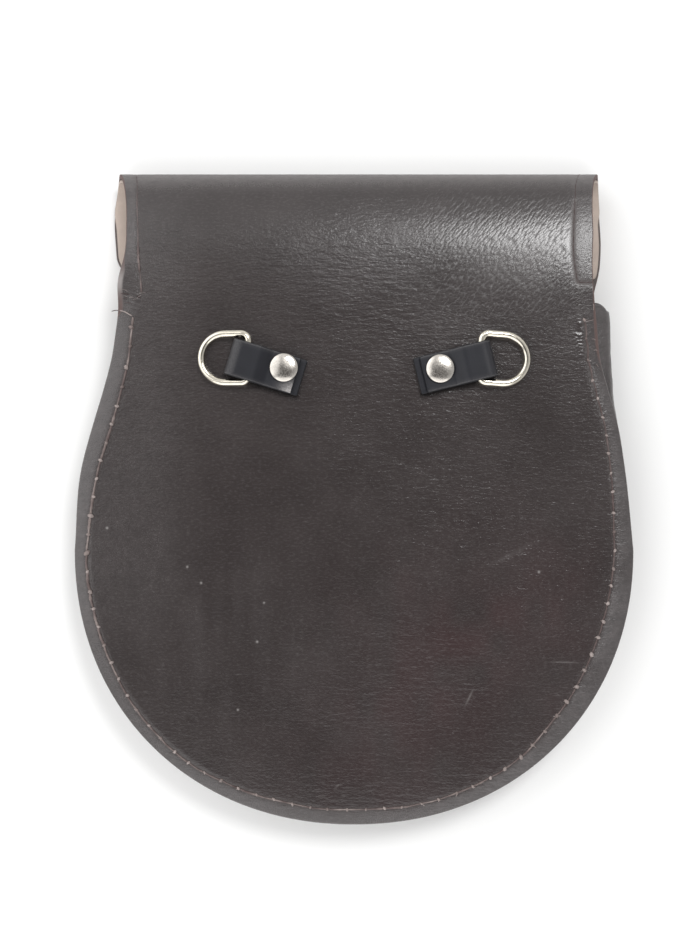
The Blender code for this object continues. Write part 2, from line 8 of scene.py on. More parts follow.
import bmesh
import bpy
import numpy as np
from bpy.props import FloatProperty, FloatVectorProperty, PointerProperty
from mathutils.geometry import delaunay_2d_cdt
from mathutils.kdtree import KDTree
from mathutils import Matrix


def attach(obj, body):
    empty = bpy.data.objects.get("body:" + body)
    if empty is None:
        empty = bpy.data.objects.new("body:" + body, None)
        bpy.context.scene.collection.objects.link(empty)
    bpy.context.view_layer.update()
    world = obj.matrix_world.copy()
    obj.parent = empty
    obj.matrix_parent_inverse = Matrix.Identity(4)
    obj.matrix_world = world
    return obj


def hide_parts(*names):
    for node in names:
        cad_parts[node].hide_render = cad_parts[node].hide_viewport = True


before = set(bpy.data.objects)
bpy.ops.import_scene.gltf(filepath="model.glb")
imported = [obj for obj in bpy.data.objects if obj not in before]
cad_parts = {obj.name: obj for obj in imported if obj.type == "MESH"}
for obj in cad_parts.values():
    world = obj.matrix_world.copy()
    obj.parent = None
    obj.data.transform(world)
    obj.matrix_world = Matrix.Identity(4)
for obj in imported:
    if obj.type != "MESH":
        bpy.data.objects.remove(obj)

bl_info = {
    "name": "Leather Sporran Pouch",
    "version": (1, 0, 0),
    "blender": (4, 5, 0),
    "location": "View3D > Sidebar > Sporran",
    "description": "Dresses the solids of a leather sporran pouch with fine leather, thread and metal",
    "category": "Object",
}

# Leather thicknesses, and the gap that neighbours keep
LEATHER = 0.0016
LINING = 0.0010
GUSSET = 0.0013
STRAP = 0.0012
GAP = 0.0003

# The body of the pouch and its cut
BODY_HEIGHT = 0.0200
FOLD_RADIUS = BODY_HEIGHT / 2
FOLD_CREST_Y = 0.10475
FOLD_MIDDLE_Y = FOLD_CREST_Y - FOLD_RADIUS
FOLD_QUARTER = math.pi / 2 * FOLD_RADIUS
ALONG_TO_Y = FOLD_MIDDLE_Y + FOLD_QUARTER
ROUND_START = 0.1270
ROUND_HALF_WIDTH = 0.0890
ROUND_DEPTH = 0.0874
ROUND_POWER = 2.1
FLAP_ROUND_START = -0.0360
FLAP_LENGTH = 0.1045
MARGIN = 0.0055
MARGIN_DROP = 0.0014
MARGIN_SLOPE = 0.4
MOUTH_ALONG = 0.0480
MARGIN_FADE = 0.0120


def rows(kind, *values):
    """The rows of a table from plain numbers."""
    return tuple(kind(*row) for row in values)


# The edges of the cut, worked out from the flap to the round bottom
Edge = namedtuple("Edge", "along left right")
CUT_EDGES = rows(
    Edge,
    (-0.036, -0.0779, 0.0810), (-0.028, -0.0785, 0.0814), (-0.020, -0.0789, 0.0810), (-0.008, -0.0774, 0.0801),
    (0.000, -0.0760, 0.0790), (0.008, -0.0742, 0.0772), (0.016, -0.0730, 0.0763), (0.026, -0.0726, 0.0762),
    (0.036, -0.0727, 0.0758), (0.046, -0.0738, 0.0763), (0.056, -0.0757, 0.0774), (0.066, -0.0773, 0.0784),
    (0.076, -0.0799, 0.0810), (0.086, -0.0829, 0.0838), (0.101, -0.0869, 0.0863), (0.127, -0.0890, 0.0890),
)

# How the back's leather sinks towards the fold
SINK_START_Y = 0.0620
SINK_LENGTH = 0.0400
SINK_SHARE = 0.45
SINK_POWER = 2.2
EARLY_BEND_Y = (0.0790, 0.09475, 0.0960)
EARLY_BEND_SLOPE = 0.090
EARLY_BEND_PLACES = 60

# Where the back's cut edge stands out at the left of the mouth
LEFT_MOUTH_ALONG = 0.0415
LEFT_MOUTH_REACH = 0.0075
LEFT_MOUTH_OUT = 0.0019

# How far the flap's sides draw in under the back, and over which stretch of the flap they do
LEFT_TUCK = 0.028
LEFT_TUCK_BAND = (0.0315, 0.0385)
RIGHT_TUCK = 0.017
RIGHT_TUCK_BAND = (0.0340, 0.0440)

# The lining, which comes out flush with the leather where it shows at the fold's ends, and steps in on the flap
LINING_END = 0.0425
LINING_INSET = 0.0008
LEFT_FLUSH_BAND = (-0.0230, -0.0160)
RIGHT_FLUSH_BAND = (-0.0215, -0.0165)
FLUSH_STOP_BAND = (-0.0040, 0.0020)
LINING_STEP = 0.0030
LINING_STEP_BAND = (0.0385, 0.0398)
LINING_STEP_STOP_BAND = (-0.0700, -0.0600)

# The front panel, which lies over the flap, and the gusset
FRONT_TOP_Y = 0.0580
FLAP_STACK = LEATHER + GAP + LINING + GAP
STEP_CLEAR = 0.0012
STEP_REACH = 0.0200
SEAM_MARGIN = 0.0085
SEAM_INSET = 0.0008
SEAM_ROLL = 0.0021
BOW = 0.0008
MOUTH_BOW = 0.0046
MOUTH_BOW_REACH = 0.0230
SIDE_BOW = 0.00125
SIDE_BOW_RUN = 0.0215
SIDE_BOW_REACH = 0.0110

# The closing stud, which lifts the front panel
STUD_X = 0.0013
STUD_Y = 0.0240
STUD_DISC = 0.0016
STUD_POST_RADIUS = 0.0017
STUD_BUMP_FLAT = 0.0085
STUD_BUMP_RADIUS = 0.0230

# The tabs, rings and rivets
TAB_WIDTH = 0.0118
TAB_SETBACK = 0.0020
TAB_CORNER = 0.0007
LOOP_TO_BAR = 0.0060
LOOP_CREST = 0.0025
LOOP_SLOPE = 0.0050
WIRE_RADIUS = 0.0010
WIRE_SHOWN_RADIUS = 0.00115
RING_BOW_RADIUS = 0.0077
RING_ARM = 0.0073
RING_CORNER = 0.0022
RING_TILT = math.radians(6.5)
BAR_CLEARANCE = 0.0006
RIVET_CAP_RADIUS = 0.0045
RIVET_RIM = 0.0005
RIVET_LIP = 0.00025
RIVET_DOME = 0.00095
RIVET_POST_RADIUS = 0.0014
HOLE_CLEARANCE = 0.0004
HOLE_SIDES = 24
INNER_CAP = 0.0010
INNER_CAP_ROUND = 0.0004
PLACES = "end_x end_y loop_x loop_y rivet_x rivet_y bar_x bar_y ring_turn"
# loop_wear is the strength of the painted highlight over each tab's loop
Tab = namedtuple("Tab", f"side {PLACES} corner_wear loop_wear strap_seed cap_seed")
TABS = rows(
    Tab,
    ("left", -0.0164, 0.0380, -0.0395, 0.0450, -0.0222, 0.0413, -0.0335, 0.0444, 180.0, 1.0, 0.10, 61, 71),
    ("right", 0.0200, 0.0386, 0.0441, 0.0444, 0.0272, 0.0410, 0.0399, 0.0446, -4.0, 0.0, 0.03, 62, 72),
)

# How far the body's seam lies in from the edge, by the way round from the right end of the mouth
SeamInset = namedtuple("SeamInset", "run inset")
BODY_SEAM = rows(
    SeamInset,
    (0.000, 0.00405), (0.018, 0.0041), (0.044, 0.0045), (0.060, 0.0051), (0.076, 0.0061), (0.097, 0.0071),
    (0.118, 0.0075), (0.132, 0.0070), (0.147, 0.0065), (0.161, 0.0050), (0.186, 0.0049), (0.199, 0.0046),
    (0.213, 0.0053), (0.231, 0.0048), (0.250, 0.0052), (0.257, 0.0046), (0.264, 0.0048), (0.277, 0.0037),
    (0.296, 0.0041), (0.328, 0.0048), (0.342, 0.0046), (0.349, 0.0041), (0.367, 0.0043), (0.380, 0.0055),
    (0.400, 0.0061), (0.415, 0.0057), (0.430, 0.0054), (0.441, 0.0044),
)
SEAM_SMOOTHING = np.linspace(-0.006, 0.006, 7)
SEAM_START = 0.0054
SEAM_END_SHORT = 0.0040
SEAM_DEPTH = 0.00006
BODY_STITCH = 0.0062

# Where the lining's seam lies on the cut, how much of its thread shows on the left of the back, and its short end
LiningSeam = namedtuple("LiningSeam", "along left right")
LINING_SEAM = rows(
    LiningSeam,
    (-0.0360, -0.0731, 0.0762), (-0.0200, -0.0741, 0.0762), (-0.0080, -0.0724, 0.0748),
    (0.0000, -0.0708, 0.0733), (0.0100, -0.0696, 0.0711), (0.0173, -0.0694, 0.0705),
    (0.0234, -0.0689, 0.0700), (0.0300, -0.0687, 0.0697), (0.0350, -0.0685, 0.0699),
    (0.0393, -0.0680, 0.0705), (0.0409, -0.0678, 0.0708), (0.0450, -0.0675, 0.0713),
)
LiningShown = namedtuple("LiningShown", "along share")
LINING_SHOWN = rows(
    LiningShown,
    (0.0, 0.30), (0.0130, 0.35), (0.0160, 0.55), (0.0290, 0.55), (0.0312, 1.10),
    (0.0380, 1.05), (0.0388, 0.40), (0.0412, 0.40), (0.0420, 1.00), (0.0450, 0.90),
)
LINING_SHOWN_RIGHT = 0.35
LINING_SEAM_INSET = 0.0048
LINING_SEAM_STOP = 0.0416
LINING_SEAM_LEFT_STOP = 0.0450
LINING_SEAM_TURN = (0.0008, 0.0003)
LINING_SEAM_END_X = 0.0757

# How finely lines and leather are divided
SIDE_POINTS = 400
BOTTOM_POINTS = 800
FLAP_POINTS = 500
SEAM_POINTS = 200
TRACE_STEP = 0.00025
EDGE_STEP = 0.00062
GRID_STEP = 0.0014
UNDER_STEP = 0.0032
EDGE_RINGS = (0.0009, 0.0015, 0.0022, 0.0029, 0.0036, 0.0042, 0.0047, 0.0052, 0.0057, 0.0063, 0.0070, 0.0078, 0.0088)
SPARSE_INSET = 0.0065
PATCH_CLEAR = 0.0009
CREASE_CLEAR = 0.0004
CREASE_SIDES = (-2.2, -1.3, -0.65, 0.0, 0.65, 1.3, 2.2)
SAME_PLACE = 1e-7
NO_AREA = 1e-10
PLACES_AT_ONCE = 3000
RIM_STEPS = 4
RIM_ROUND = 0.00035
FACE_SKIN = 0.00002


# Lines and noise


def smoothstep(value, low, high):
    """From 0 at low to 1 at high, with a soft start and end."""
    t = np.clip((value - low) / (high - low), 0.0, 1.0)
    return t * t * (3 - 2 * t)


def bell(value, width):
    """1 at nought, fading to nothing over about twice the width."""
    return np.exp(-((value / width) ** 2))


RIPPLE_CELLS = 64
RIPPLE_SHIFT = (0.37, 0.61)


def ripple(u, v, size, seed):
    """Smooth noise from -1 to 1 over flat places, with waves about size across."""
    table = np.random.default_rng(seed).uniform(-1, 1, (RIPPLE_CELLS, RIPPLE_CELLS))
    gu = np.asarray(u) / size + RIPPLE_SHIFT[0]
    gv = np.asarray(v) / size + RIPPLE_SHIFT[1]
    iu = np.floor(gu).astype(int)
    iv = np.floor(gv).astype(int)
    fu = (gu - iu) ** 2 * (3 - 2 * (gu - iu))
    fv = (gv - iv) ** 2 * (3 - 2 * (gv - iv))
    iu, iu_next = iu % RIPPLE_CELLS, (iu + 1) % RIPPLE_CELLS
    iv, iv_next = iv % RIPPLE_CELLS, (iv + 1) % RIPPLE_CELLS
    low = table[iu, iv] * (1 - fu) + table[iu_next, iv] * fu
    high = table[iu, iv_next] * (1 - fu) + table[iu_next, iv_next] * fu
    return low * (1 - fv) + high * fv


def line_ripple(run, size, seed):
    """The same noise along a line."""
    return ripple(run, 0 * run, size, seed)


def read(at, places, values):
    """The values of a table with these places, read at others."""
    return np.column_stack([np.interp(at, places, column) for column in values.T])


def lengths_of(points):
    """How far along a line each of its points is."""
    return np.concatenate([[0.0], np.cumsum(np.linalg.norm(np.diff(points, axis=0), axis=1))])


def points_at(points, places):
    """The points of a line at these lengths along it."""
    reach = lengths_of(points)
    return read(places, reach, points)


def resample(points, step, closed=False):
    """The same line with its points about step apart."""
    points = np.asarray(points, dtype=float)
    if closed:
        points = np.vstack([points, points[:1]])
    length = lengths_of(points)[-1]
    places = np.linspace(0, length, max(2, round(length / step)) + 1)
    return points_at(points, places[:-1] if closed else places)


def loop_normals(loop):
    """The unit outward normals of a closed loop that runs anticlockwise."""
    run = np.roll(loop, -1, axis=0) - np.roll(loop, 1, axis=0)
    normal = np.stack([run[:, 1], -run[:, 0]], axis=1)
    return normal / np.linalg.norm(normal, axis=1)[:, None]


def line_normals(line, middle=(0.0, 0.0)):
    """The unit normals of an open line, pointing away from a middle."""
    run = np.gradient(line, axis=0)
    normal = np.stack([-run[:, 1], run[:, 0]], axis=1)
    normal /= np.linalg.norm(normal, axis=1)[:, None]
    inward = (normal * (np.array(middle) - line)).sum(1) > 0
    return np.where(inward[:, None], -normal, normal)


class Trace:
    """A flat line that places are measured from."""

    def __init__(self, points):
        self.points = resample(points, TRACE_STEP)
        self.reach = lengths_of(self.points)
        self.tree = KDTree(len(self.points))
        for index, (x, y) in enumerate(self.points.tolist()):
            self.tree.insert((x, y, 0.0), index)
        self.tree.balance()

    def nearest(self, places):
        """How far each place is from the line, and how far along the line the nearest point is."""
        found = [self.tree.find((x, y, 0.0)) for x, y in np.asarray(places).tolist()]
        return np.array([f[2] for f in found]), self.reach[[f[1] for f in found]]


def inside(places, loop):
    """Which places lie inside a closed loop."""
    x1, y1 = loop.T
    x2, y2 = np.roll(loop, -1, axis=0).T
    rise = np.where(y2 == y1, 1.0, y2 - y1)
    found = []
    for part in np.array_split(np.asarray(places), len(places) // PLACES_AT_ONCE + 1):
        x = part[:, :1]
        y = part[:, 1:]
        crossed = ((y1 > y) != (y2 > y)) & (x < (x2 - x1) * (y - y1) / rise + x1)
        found.append(crossed.sum(1) % 2 == 1)
    return np.concatenate(found)


# The lines of the cut, and of the body in plan


def edge_at(along, side):
    """The place across of the cut's left or right edge, smooth through the rows of CUT_EDGES."""
    ends = np.array([row.along for row in CUT_EDGES])
    places = np.array([getattr(row, side) for row in CUT_EDGES])
    slopes = np.gradient(places, ends)
    i = np.clip(np.searchsorted(ends, along) - 1, 0, len(ends) - 2)
    step = ends[i + 1] - ends[i]
    t = (along - ends[i]) / step
    start = (2 * t**3 - 3 * t**2 + 1) * places[i] + (t**3 - 2 * t**2 + t) * step * slopes[i]
    end = (3 * t**2 - 2 * t**3) * places[i + 1] + (t**3 - t**2) * step * slopes[i + 1]
    return start + end


def side_line(side, start, stop, inset=0.0):
    """One side of the cut as (across, along), moved in by an inset."""
    along = np.linspace(start, stop, SIDE_POINTS)
    across = edge_at(along, side)
    return np.stack([across - np.sign(across) * inset, along], axis=1)


def round_bottom():
    """The round end of the back panel as (across, along), from right to left."""
    angle = np.linspace(0, math.pi, BOTTOM_POINTS)
    c = np.cos(angle)
    across = np.copysign(np.abs(c) ** (2 / ROUND_POWER), c) * ROUND_HALF_WIDTH
    deep = np.clip(np.sin(angle), 0, None) ** (2 / ROUND_POWER)
    return np.stack([across, ROUND_START + deep * ROUND_DEPTH], axis=1)


def round_flap(inset=0.0):
    """The round end of the flap as (across, along), from left to right."""
    left = edge_at(FLAP_ROUND_START, "left") + inset
    right = edge_at(FLAP_ROUND_START, "right") - inset
    depth = FLAP_LENGTH + FLAP_ROUND_START - inset
    angle = np.linspace(0, math.pi, FLAP_POINTS)
    across = (left + right) / 2 - (right - left) / 2 * np.cos(angle)
    return np.stack([across, FLAP_ROUND_START - depth * np.sin(angle)], axis=1)


def tucked(flat):
    """Places on the cut with the flap's sides drawn in where they go under the back."""
    across, along = flat.T
    left = LEFT_TUCK * smoothstep(-along, *LEFT_TUCK_BAND)
    right = RIGHT_TUCK * smoothstep(-along, *RIGHT_TUCK_BAND)
    return np.stack([across * (1 - np.where(across < 0, left, right)), along], axis=1)


def back_outline():
    """The whole edge of the back and flap's cut, anticlockwise."""
    right = side_line("right", FLAP_ROUND_START, ROUND_START)
    left = side_line("left", ROUND_START, FLAP_ROUND_START)
    left[:, 0] -= LEFT_MOUTH_OUT * bell(left[:, 1] - LEFT_MOUTH_ALONG, LEFT_MOUTH_REACH)
    return tucked(np.vstack([round_flap(), right[1:], round_bottom()[1:-1], left[:-1]]))


def lining_outline():
    """The edge of the lining's cut, flush with the leather at the fold's ends and stepped in on the flap."""
    right = side_line("right", FLAP_ROUND_START, LINING_END, LINING_INSET)
    left = side_line("left", LINING_END, FLAP_ROUND_START, LINING_INSET)
    for side, out, band in ((right, LINING_INSET, RIGHT_FLUSH_BAND), (left, -LINING_INSET, LEFT_FLUSH_BAND)):
        side[:, 0] += out * smoothstep(side[:, 1], *band) * smoothstep(-side[:, 1], *FLUSH_STOP_BAND)
    whole = np.vstack([round_flap(LINING_INSET), right[1:], left[:-1]])
    across, along = whole.T
    stepped = smoothstep(-along, *LINING_STEP_BAND) * smoothstep(along, *LINING_STEP_STOP_BAND) * (across > 0)
    whole[:, 0] -= LINING_STEP * stepped
    return tucked(whole)


def to_plan(flat):
    """Places on the cut as places in plan, where the cut lies flat."""
    return np.stack([flat[:, 0], ALONG_TO_Y - np.abs(flat[:, 1])], axis=1)


BODY_LINE = resample(
    to_plan(
        np.vstack(
            [
                side_line("right", MOUTH_ALONG, ROUND_START),
                round_bottom()[1:-1],
                side_line("left", ROUND_START, MOUTH_ALONG),
            ]
        )
    ),
    TRACE_STEP,
)
BODY_OUT = line_normals(BODY_LINE)
BODY_RUN = lengths_of(BODY_LINE)
BODY_EDGE = Trace(BODY_LINE)


def body_out(run):
    """The outward directions in plan at lengths round the body's edge."""
    return read(run, BODY_RUN, BODY_OUT)


def body_places(run, inset):
    """Places in plan at lengths round the body's edge, moved in by an inset."""
    return read(run, BODY_RUN, BODY_LINE) - body_out(run) * np.asarray(inset)[..., None]


def seam_inset(run):
    """How far in from the edge the body's seam lies, at lengths round it."""
    table = np.array(BODY_SEAM)
    return np.interp(run[:, None] + SEAM_SMOOTHING, table[:, 0], table[:, 1]).mean(1)


SEAM_RUN = np.arange(SEAM_START, BODY_RUN[-1] - SEAM_END_SHORT, TRACE_STEP)
SEAM_LINE = body_places(SEAM_RUN, seam_inset(SEAM_RUN))
BODY_SEAM_TRACE = Trace(SEAM_LINE)


def lining_seam_line():
    """The lining's seam on the cut, from the left of the back round the flap to the right of the back."""
    table = np.array(LINING_SEAM)
    left_along = np.linspace(LINING_SEAM_LEFT_STOP, FLAP_ROUND_START, SEAM_POINTS)
    right_along = np.linspace(FLAP_ROUND_START, LINING_SEAM_STOP, SEAM_POINTS)
    left = np.column_stack([np.interp(left_along, table[:, 0], table[:, 1]), left_along])
    right = np.column_stack([np.interp(right_along, table[:, 0], table[:, 2]), right_along])
    out, on = LINING_SEAM_TURN
    turned_out = [(right[-1, 0] + out, LINING_SEAM_STOP + on), (LINING_SEAM_END_X, LINING_SEAM_STOP + on)]
    return tucked(np.vstack([left, round_flap(LINING_SEAM_INSET)[1:-1], right, turned_out]))


LINING_SEAM_TRACE = Trace(lining_seam_line())
FLAP_LINE = to_plan(
    np.vstack(
        [
            side_line("left", -FOLD_QUARTER, FLAP_ROUND_START),
            round_flap()[1:-1],
            side_line("right", FLAP_ROUND_START, -FOLD_QUARTER),
        ]
    )
)
FLAP_EDGE = Trace(FLAP_LINE)


# The heights of the leather


def margin_drop(distance, y):
    """How far the margin has rolled down at this distance in from the edge."""
    share = np.clip(1 - distance / MARGIN, 0.0, 1.0)
    fade = smoothstep(ALONG_TO_Y - MOUTH_ALONG - y, -MARGIN_FADE / 2, MARGIN_FADE)
    return MARGIN_DROP * share * (MARGIN_SLOPE + (1 - MARGIN_SLOPE) * share) * fade


# The back lies level round the tabs, each spot with the reach of its level part, and uneven elsewhere
LEVEL_SPOTS = ((-0.030, 0.042, 0.030), (0.036, 0.042, 0.032))
WAVE_EDGE_BAND = (0.008, 0.030)
WAVE_FOLD_BAND = (0.004, 0.030)
WAVE_LOW = 0.00025


def back_wave(x, y):
    """How the back lies a little uneven, clear of the tabs, the margin and the fold."""
    tabs = np.maximum(*(bell(np.hypot(x - sx, y - sy), reach) for sx, sy, reach in LEVEL_SPOTS))
    middle = smoothstep(BODY_EDGE.nearest(np.column_stack([x, y]))[0], *WAVE_EDGE_BAND)
    share = middle * smoothstep(FOLD_MIDDLE_Y - y, *WAVE_FOLD_BAND) * (1 - tabs)
    height = 0.00034 * ripple(x, y, 0.042, 11) + 0.00012 * ripple(x, y, 0.019, 12)
    return share * (height - WAVE_LOW)


Crease = namedtuple("Crease", "x1 y1 x2 y2 width depth wear")
CREASES = rows(
    Crease,
    (0.0413, -0.0221, 0.0591, -0.0132, 0.0007, 0.00008, 0.04),
    (0.0352, -0.0662, 0.0380, -0.0605, 0.0003, 0.00003, 0.18),
    (0.0615, -0.0520, 0.0725, -0.0522, 0.0002, 0.00002, 0.16),
    (-0.0061, -0.0920, -0.0045, -0.0908, 0.0003, 0.00002, 0.10),
    (-0.0124, -0.0950, -0.0085, -0.0944, 0.0003, 0.00002, 0.06),
    (-0.0050, -0.0952, -0.0016, -0.0940, 0.0003, 0.00002, 0.06),
    (-0.0300, 0.0000, -0.0060, 0.0065, 0.0009, 0.00007, 0.00),
    (0.0050, 0.0170, 0.0300, 0.0050, 0.0010, 0.00006, 0.00),
)
Speck = namedtuple("Speck", "x y radius")
SPECKS = rows(
    Speck,
    (-0.0784, -0.0094, 0.00045), (-0.0530, -0.0218, 0.00040), (-0.0486, -0.0269, 0.00040),
    (-0.0286, -0.0332, 0.00035), (-0.0308, -0.0456, 0.00045), (-0.0369, -0.0672, 0.00040),
    (0.0587, -0.0234, 0.00045),
)
Patch = namedtuple("Patch", "across along radius step")
SPECK_PATCH = (0.0012, 0.00025)
BACK_PATCHES = rows(
    Patch,
    (0.0712, 0.0598, 0.0075, 0.00042),
    (-0.0722, 0.0475, 0.0055, 0.00045),
    *((s.x, ALONG_TO_Y - s.y, *SPECK_PATCH) for s in SPECKS),
)


def crease_ends(crease):
    """The two ends of a crease on the cut."""
    return np.array([(crease.x1, ALONG_TO_Y - crease.y1), (crease.x2, ALONG_TO_Y - crease.y2)])


def crease_share(flat, crease):
    """How deep in a crease each place on the cut lies, from 0 to 1."""
    start, end = crease_ends(crease)
    run = end - start
    t = np.clip(((flat - start) @ run) / (run @ run), 0, 1)
    away = np.linalg.norm(flat - start - t[:, None] * run, axis=1)
    return bell(away, crease.width) * np.sin(math.pi * np.clip(t, 0.04, 0.96))


Marks = namedtuple("Marks", "plan edge run seam seam_run lining")
MOUTH_OVERLAP = 0.004
FAR_AWAY = 1.0


def back_marks(flat):
    """What the look of the back goes by: places in plan, and distances from the edge, seam and lining's seam."""
    plan = to_plan(flat)
    below = flat[:, 1] > 0
    edge, run = BODY_EDGE.nearest(plan)
    seam, seam_run = BODY_SEAM_TRACE.nearest(plan)
    lining = LINING_SEAM_TRACE.nearest(flat)[0]
    edge = np.where(below & (flat[:, 1] > MOUTH_ALONG - MOUTH_OVERLAP), edge, FAR_AWAY)
    return Marks(plan, edge, run, np.where(below, seam, FAR_AWAY), seam_run, lining)


# How deep the lining's seam is sunk on the flap, at the left of the back and, more over one stretch, at the right
GROOVE_FLAP = 0.00050
GROOVE_LEFT = 0.00010
GROOVE_RIGHT = 0.00004
GROOVE_RIGHT_BAND = (0.0110, 0.0190)
GROOVE_RIGHT_STOP_BAND = (0.0385, 0.0400)


def lining_groove(flat):
    """How deep the lining's seam is sunk."""
    across, along = flat.T
    more = smoothstep(along, *GROOVE_RIGHT_BAND) * (1 - 0.8 * smoothstep(along, *GROOVE_RIGHT_STOP_BAND))
    right = GROOVE_RIGHT + GROOVE_RIGHT * more
    return np.where(along < 0, GROOVE_FLAP, np.where(across < 0, GROOVE_LEFT, right))


# The puckers along the right of the seam and the gather at the left of the mouth
SEAM_WIDTH = 0.0008
LINING_SEAM_WIDTH = 0.0011
FLAP_SEAM_WIDTH = 0.0006
ROLLED_BAND = (-0.0060, -0.0010)
ROLLED_STOP_BAND = (0.0, 0.0006)
ROLLED_WRINKLE = 0.00006
PUCKER_X = 0.0715
PUCKER_WIDTH = 0.0011
PUCKER_BAND = (0.0430, 0.0470)
PUCKER_STOP_BAND = (-0.0610, -0.0580)
PUCKER_DEPTH = 0.00011
PUCKER_WAVE = 0.0011
GATHER_X = -0.0722
GATHER_Y = 0.0625
GATHER_DEPTH = 0.00020
GATHER_WAVE = 0.0016


def back_detail(flat, marks):
    """The relief of the back's grain face: its seams, the wrinkles of its margin, creases and puckers."""
    plan, edge, run, seam, seam_run, lining = marks
    x, y = plan.T
    phase = 2 * math.pi * seam_run / BODY_STITCH
    height = -SEAM_DEPTH * bell(seam, SEAM_WIDTH) * (0.75 + 0.25 * np.cos(phase))
    groove = lining_groove(flat)
    height -= groove * bell(lining, LINING_SEAM_WIDTH)
    rolled = smoothstep(-edge, *ROLLED_BAND) * smoothstep(edge, *ROLLED_STOP_BAND)
    height += ROLLED_WRINKLE * rolled * ripple(run, edge, 0.0014, 21) * (0.5 + 0.5 * line_ripple(run, 0.014, 22))
    pucker = bell(x - PUCKER_X, PUCKER_WIDTH) * smoothstep(y, *PUCKER_BAND) * smoothstep(-y, *PUCKER_STOP_BAND)
    pucker = pucker * np.clip(0.6 + 1.3 * ripple(x, y, 0.0019, 23), 0, None)
    slope = y - 0.25 * (x - 0.0708) + 0.0008 * ripple(x, y, 0.0015, 24)
    height += PUCKER_DEPTH * pucker * np.cos(2 * math.pi * slope / PUCKER_WAVE)
    gather = bell(x - GATHER_X, 0.0030) * bell(y - GATHER_Y, 0.0026)
    height += GATHER_DEPTH * gather * np.cos(2 * math.pi * (y + 0.3 * (x - GATHER_X)) / GATHER_WAVE)
    for crease in CREASES:
        height -= crease.depth * crease_share(flat, crease)
    return np.where(flat[:, 1] > 0, height, -groove * bell(lining, FLAP_SEAM_WIDTH))


def bend(flat, rise):
    """The places in space of points of the cut, raised off the grain face by rise."""
    across, along = flat.T
    angle = along / FOLD_RADIUS
    radius = FOLD_RADIUS + rise
    folded = np.abs(along) <= FOLD_QUARTER
    plan_y = ALONG_TO_Y - np.abs(along)
    y = np.where(folded, FOLD_MIDDLE_Y + radius * np.cos(angle), plan_y)
    distance = BODY_EDGE.nearest(to_plan(flat))[0]
    drop = np.where(along > MOUTH_ALONG - MARGIN_FADE, margin_drop(distance, plan_y), 0.0)
    wave = np.where(along > FOLD_QUARTER, back_wave(across, plan_y), 0.0)
    flat_z = np.where(along < 0, -rise, BODY_HEIGHT - drop + wave + rise)
    z = np.where(folded, FOLD_RADIUS + radius * np.sin(angle), flat_z)
    above = np.clip(z / FOLD_RADIUS - 1, 0, None)
    z = np.where(above > 0, FOLD_RADIUS + (z - FOLD_RADIUS) * (1 - sink_share(y)) - early_drop(y) * above, z)
    return np.stack([across, y, z], axis=1)


def sink_share(y):
    """How far the back's leather has sunk towards the middle of the fold."""
    return SINK_SHARE * np.clip((y - SINK_START_Y) / SINK_LENGTH, 0, None) ** SINK_POWER


def early_drop(y):
    """How far the back's leather has bent down ahead of the round of the fold."""
    places = np.linspace(EARLY_BEND_Y[0], EARLY_BEND_Y[-1], EARLY_BEND_PLACES)
    slopes = np.interp(places, EARLY_BEND_Y, (0.0, EARLY_BEND_SLOPE, 0.0))
    return np.interp(y, places, np.cumsum(slopes) * (places[1] - places[0]))


def front_base(places):
    """The height of the front panel's outer face in plan, over the flap and down to the table."""
    away = FLAP_EDGE.nearest(places)[0]
    away = np.where(inside(places, FLAP_LINE), 0.0, away)
    return FLAP_STACK * (1 - smoothstep(away, STEP_CLEAR, STEP_REACH))


def stud_bump(x, y):
    """How far the closing stud lifts the front panel."""
    away = np.hypot(x - STUD_X, y - STUD_Y)
    return (STUD_DISC + GAP) * (1 - smoothstep(away, STUD_BUMP_FLAT, STUD_BUMP_RADIUS))


# Closed pieces of leather


def fill(loop, holes, loose):
    """Triangles inside a loop, round its holes and through loose places, and where the borders went."""
    rings = [loop, *holes]
    every = np.vstack([*rings, loose])
    edges = []
    first = 0
    for ring in rings:
        edges += [(first + i, first + (i + 1) % len(ring)) for i in range(len(ring))]
        first += len(ring)
    flat, _, faces, origins, *_ = delaunay_2d_cdt(every.tolist(), edges, [], 0, SAME_PLACE)
    where = np.zeros(len(every), dtype=int)
    for new, olds in enumerate(origins):
        where[olds] = new
    flat = np.array([tuple(p) for p in flat])
    faces = np.array([tuple(f) for f in faces])
    on_border = np.zeros(len(flat), dtype=bool)
    on_border[where[:first]] = True
    doubtful = np.flatnonzero(on_border[faces].all(1))
    a, b, c = (flat[faces[doubtful, k]] for k in range(3))
    good = np.abs((b - a)[:, 0] * (c - a)[:, 1] - (b - a)[:, 1] * (c - a)[:, 0]) > NO_AREA
    middles = (a + b + c) / 3
    good &= inside(middles, loop)
    for hole in holes:
        good &= ~inside(middles, hole)
    faces = np.delete(faces, doubtful[~good], axis=0)
    return flat, faces, where[:first]


def grid_over(loop, step):
    """Places of an even triangular grid over a loop's box."""
    low = loop.min(0)
    high = loop.max(0)
    up = np.arange(low[1], high[1], step * math.sqrt(3) / 2)
    x, y = np.meshgrid(np.arange(low[0], high[0], step), up)
    x = x + (np.arange(len(up)) % 2)[:, None] * step / 2
    return np.stack([x.ravel(), y.ravel()], axis=1)


def within(places, loop, trace, clear):
    """The places that lie inside a loop and at least this far from its edge."""
    keep = inside(places, loop)
    places = places[keep]
    return places[trace.nearest(places)[0] > clear]


def circle(x, y, radius, sides):
    """The points of a circle, anticlockwise."""
    turns = 2 * math.pi * np.arange(sides) / sides
    return np.column_stack([x + radius * np.cos(turns), y + radius * np.sin(turns)])


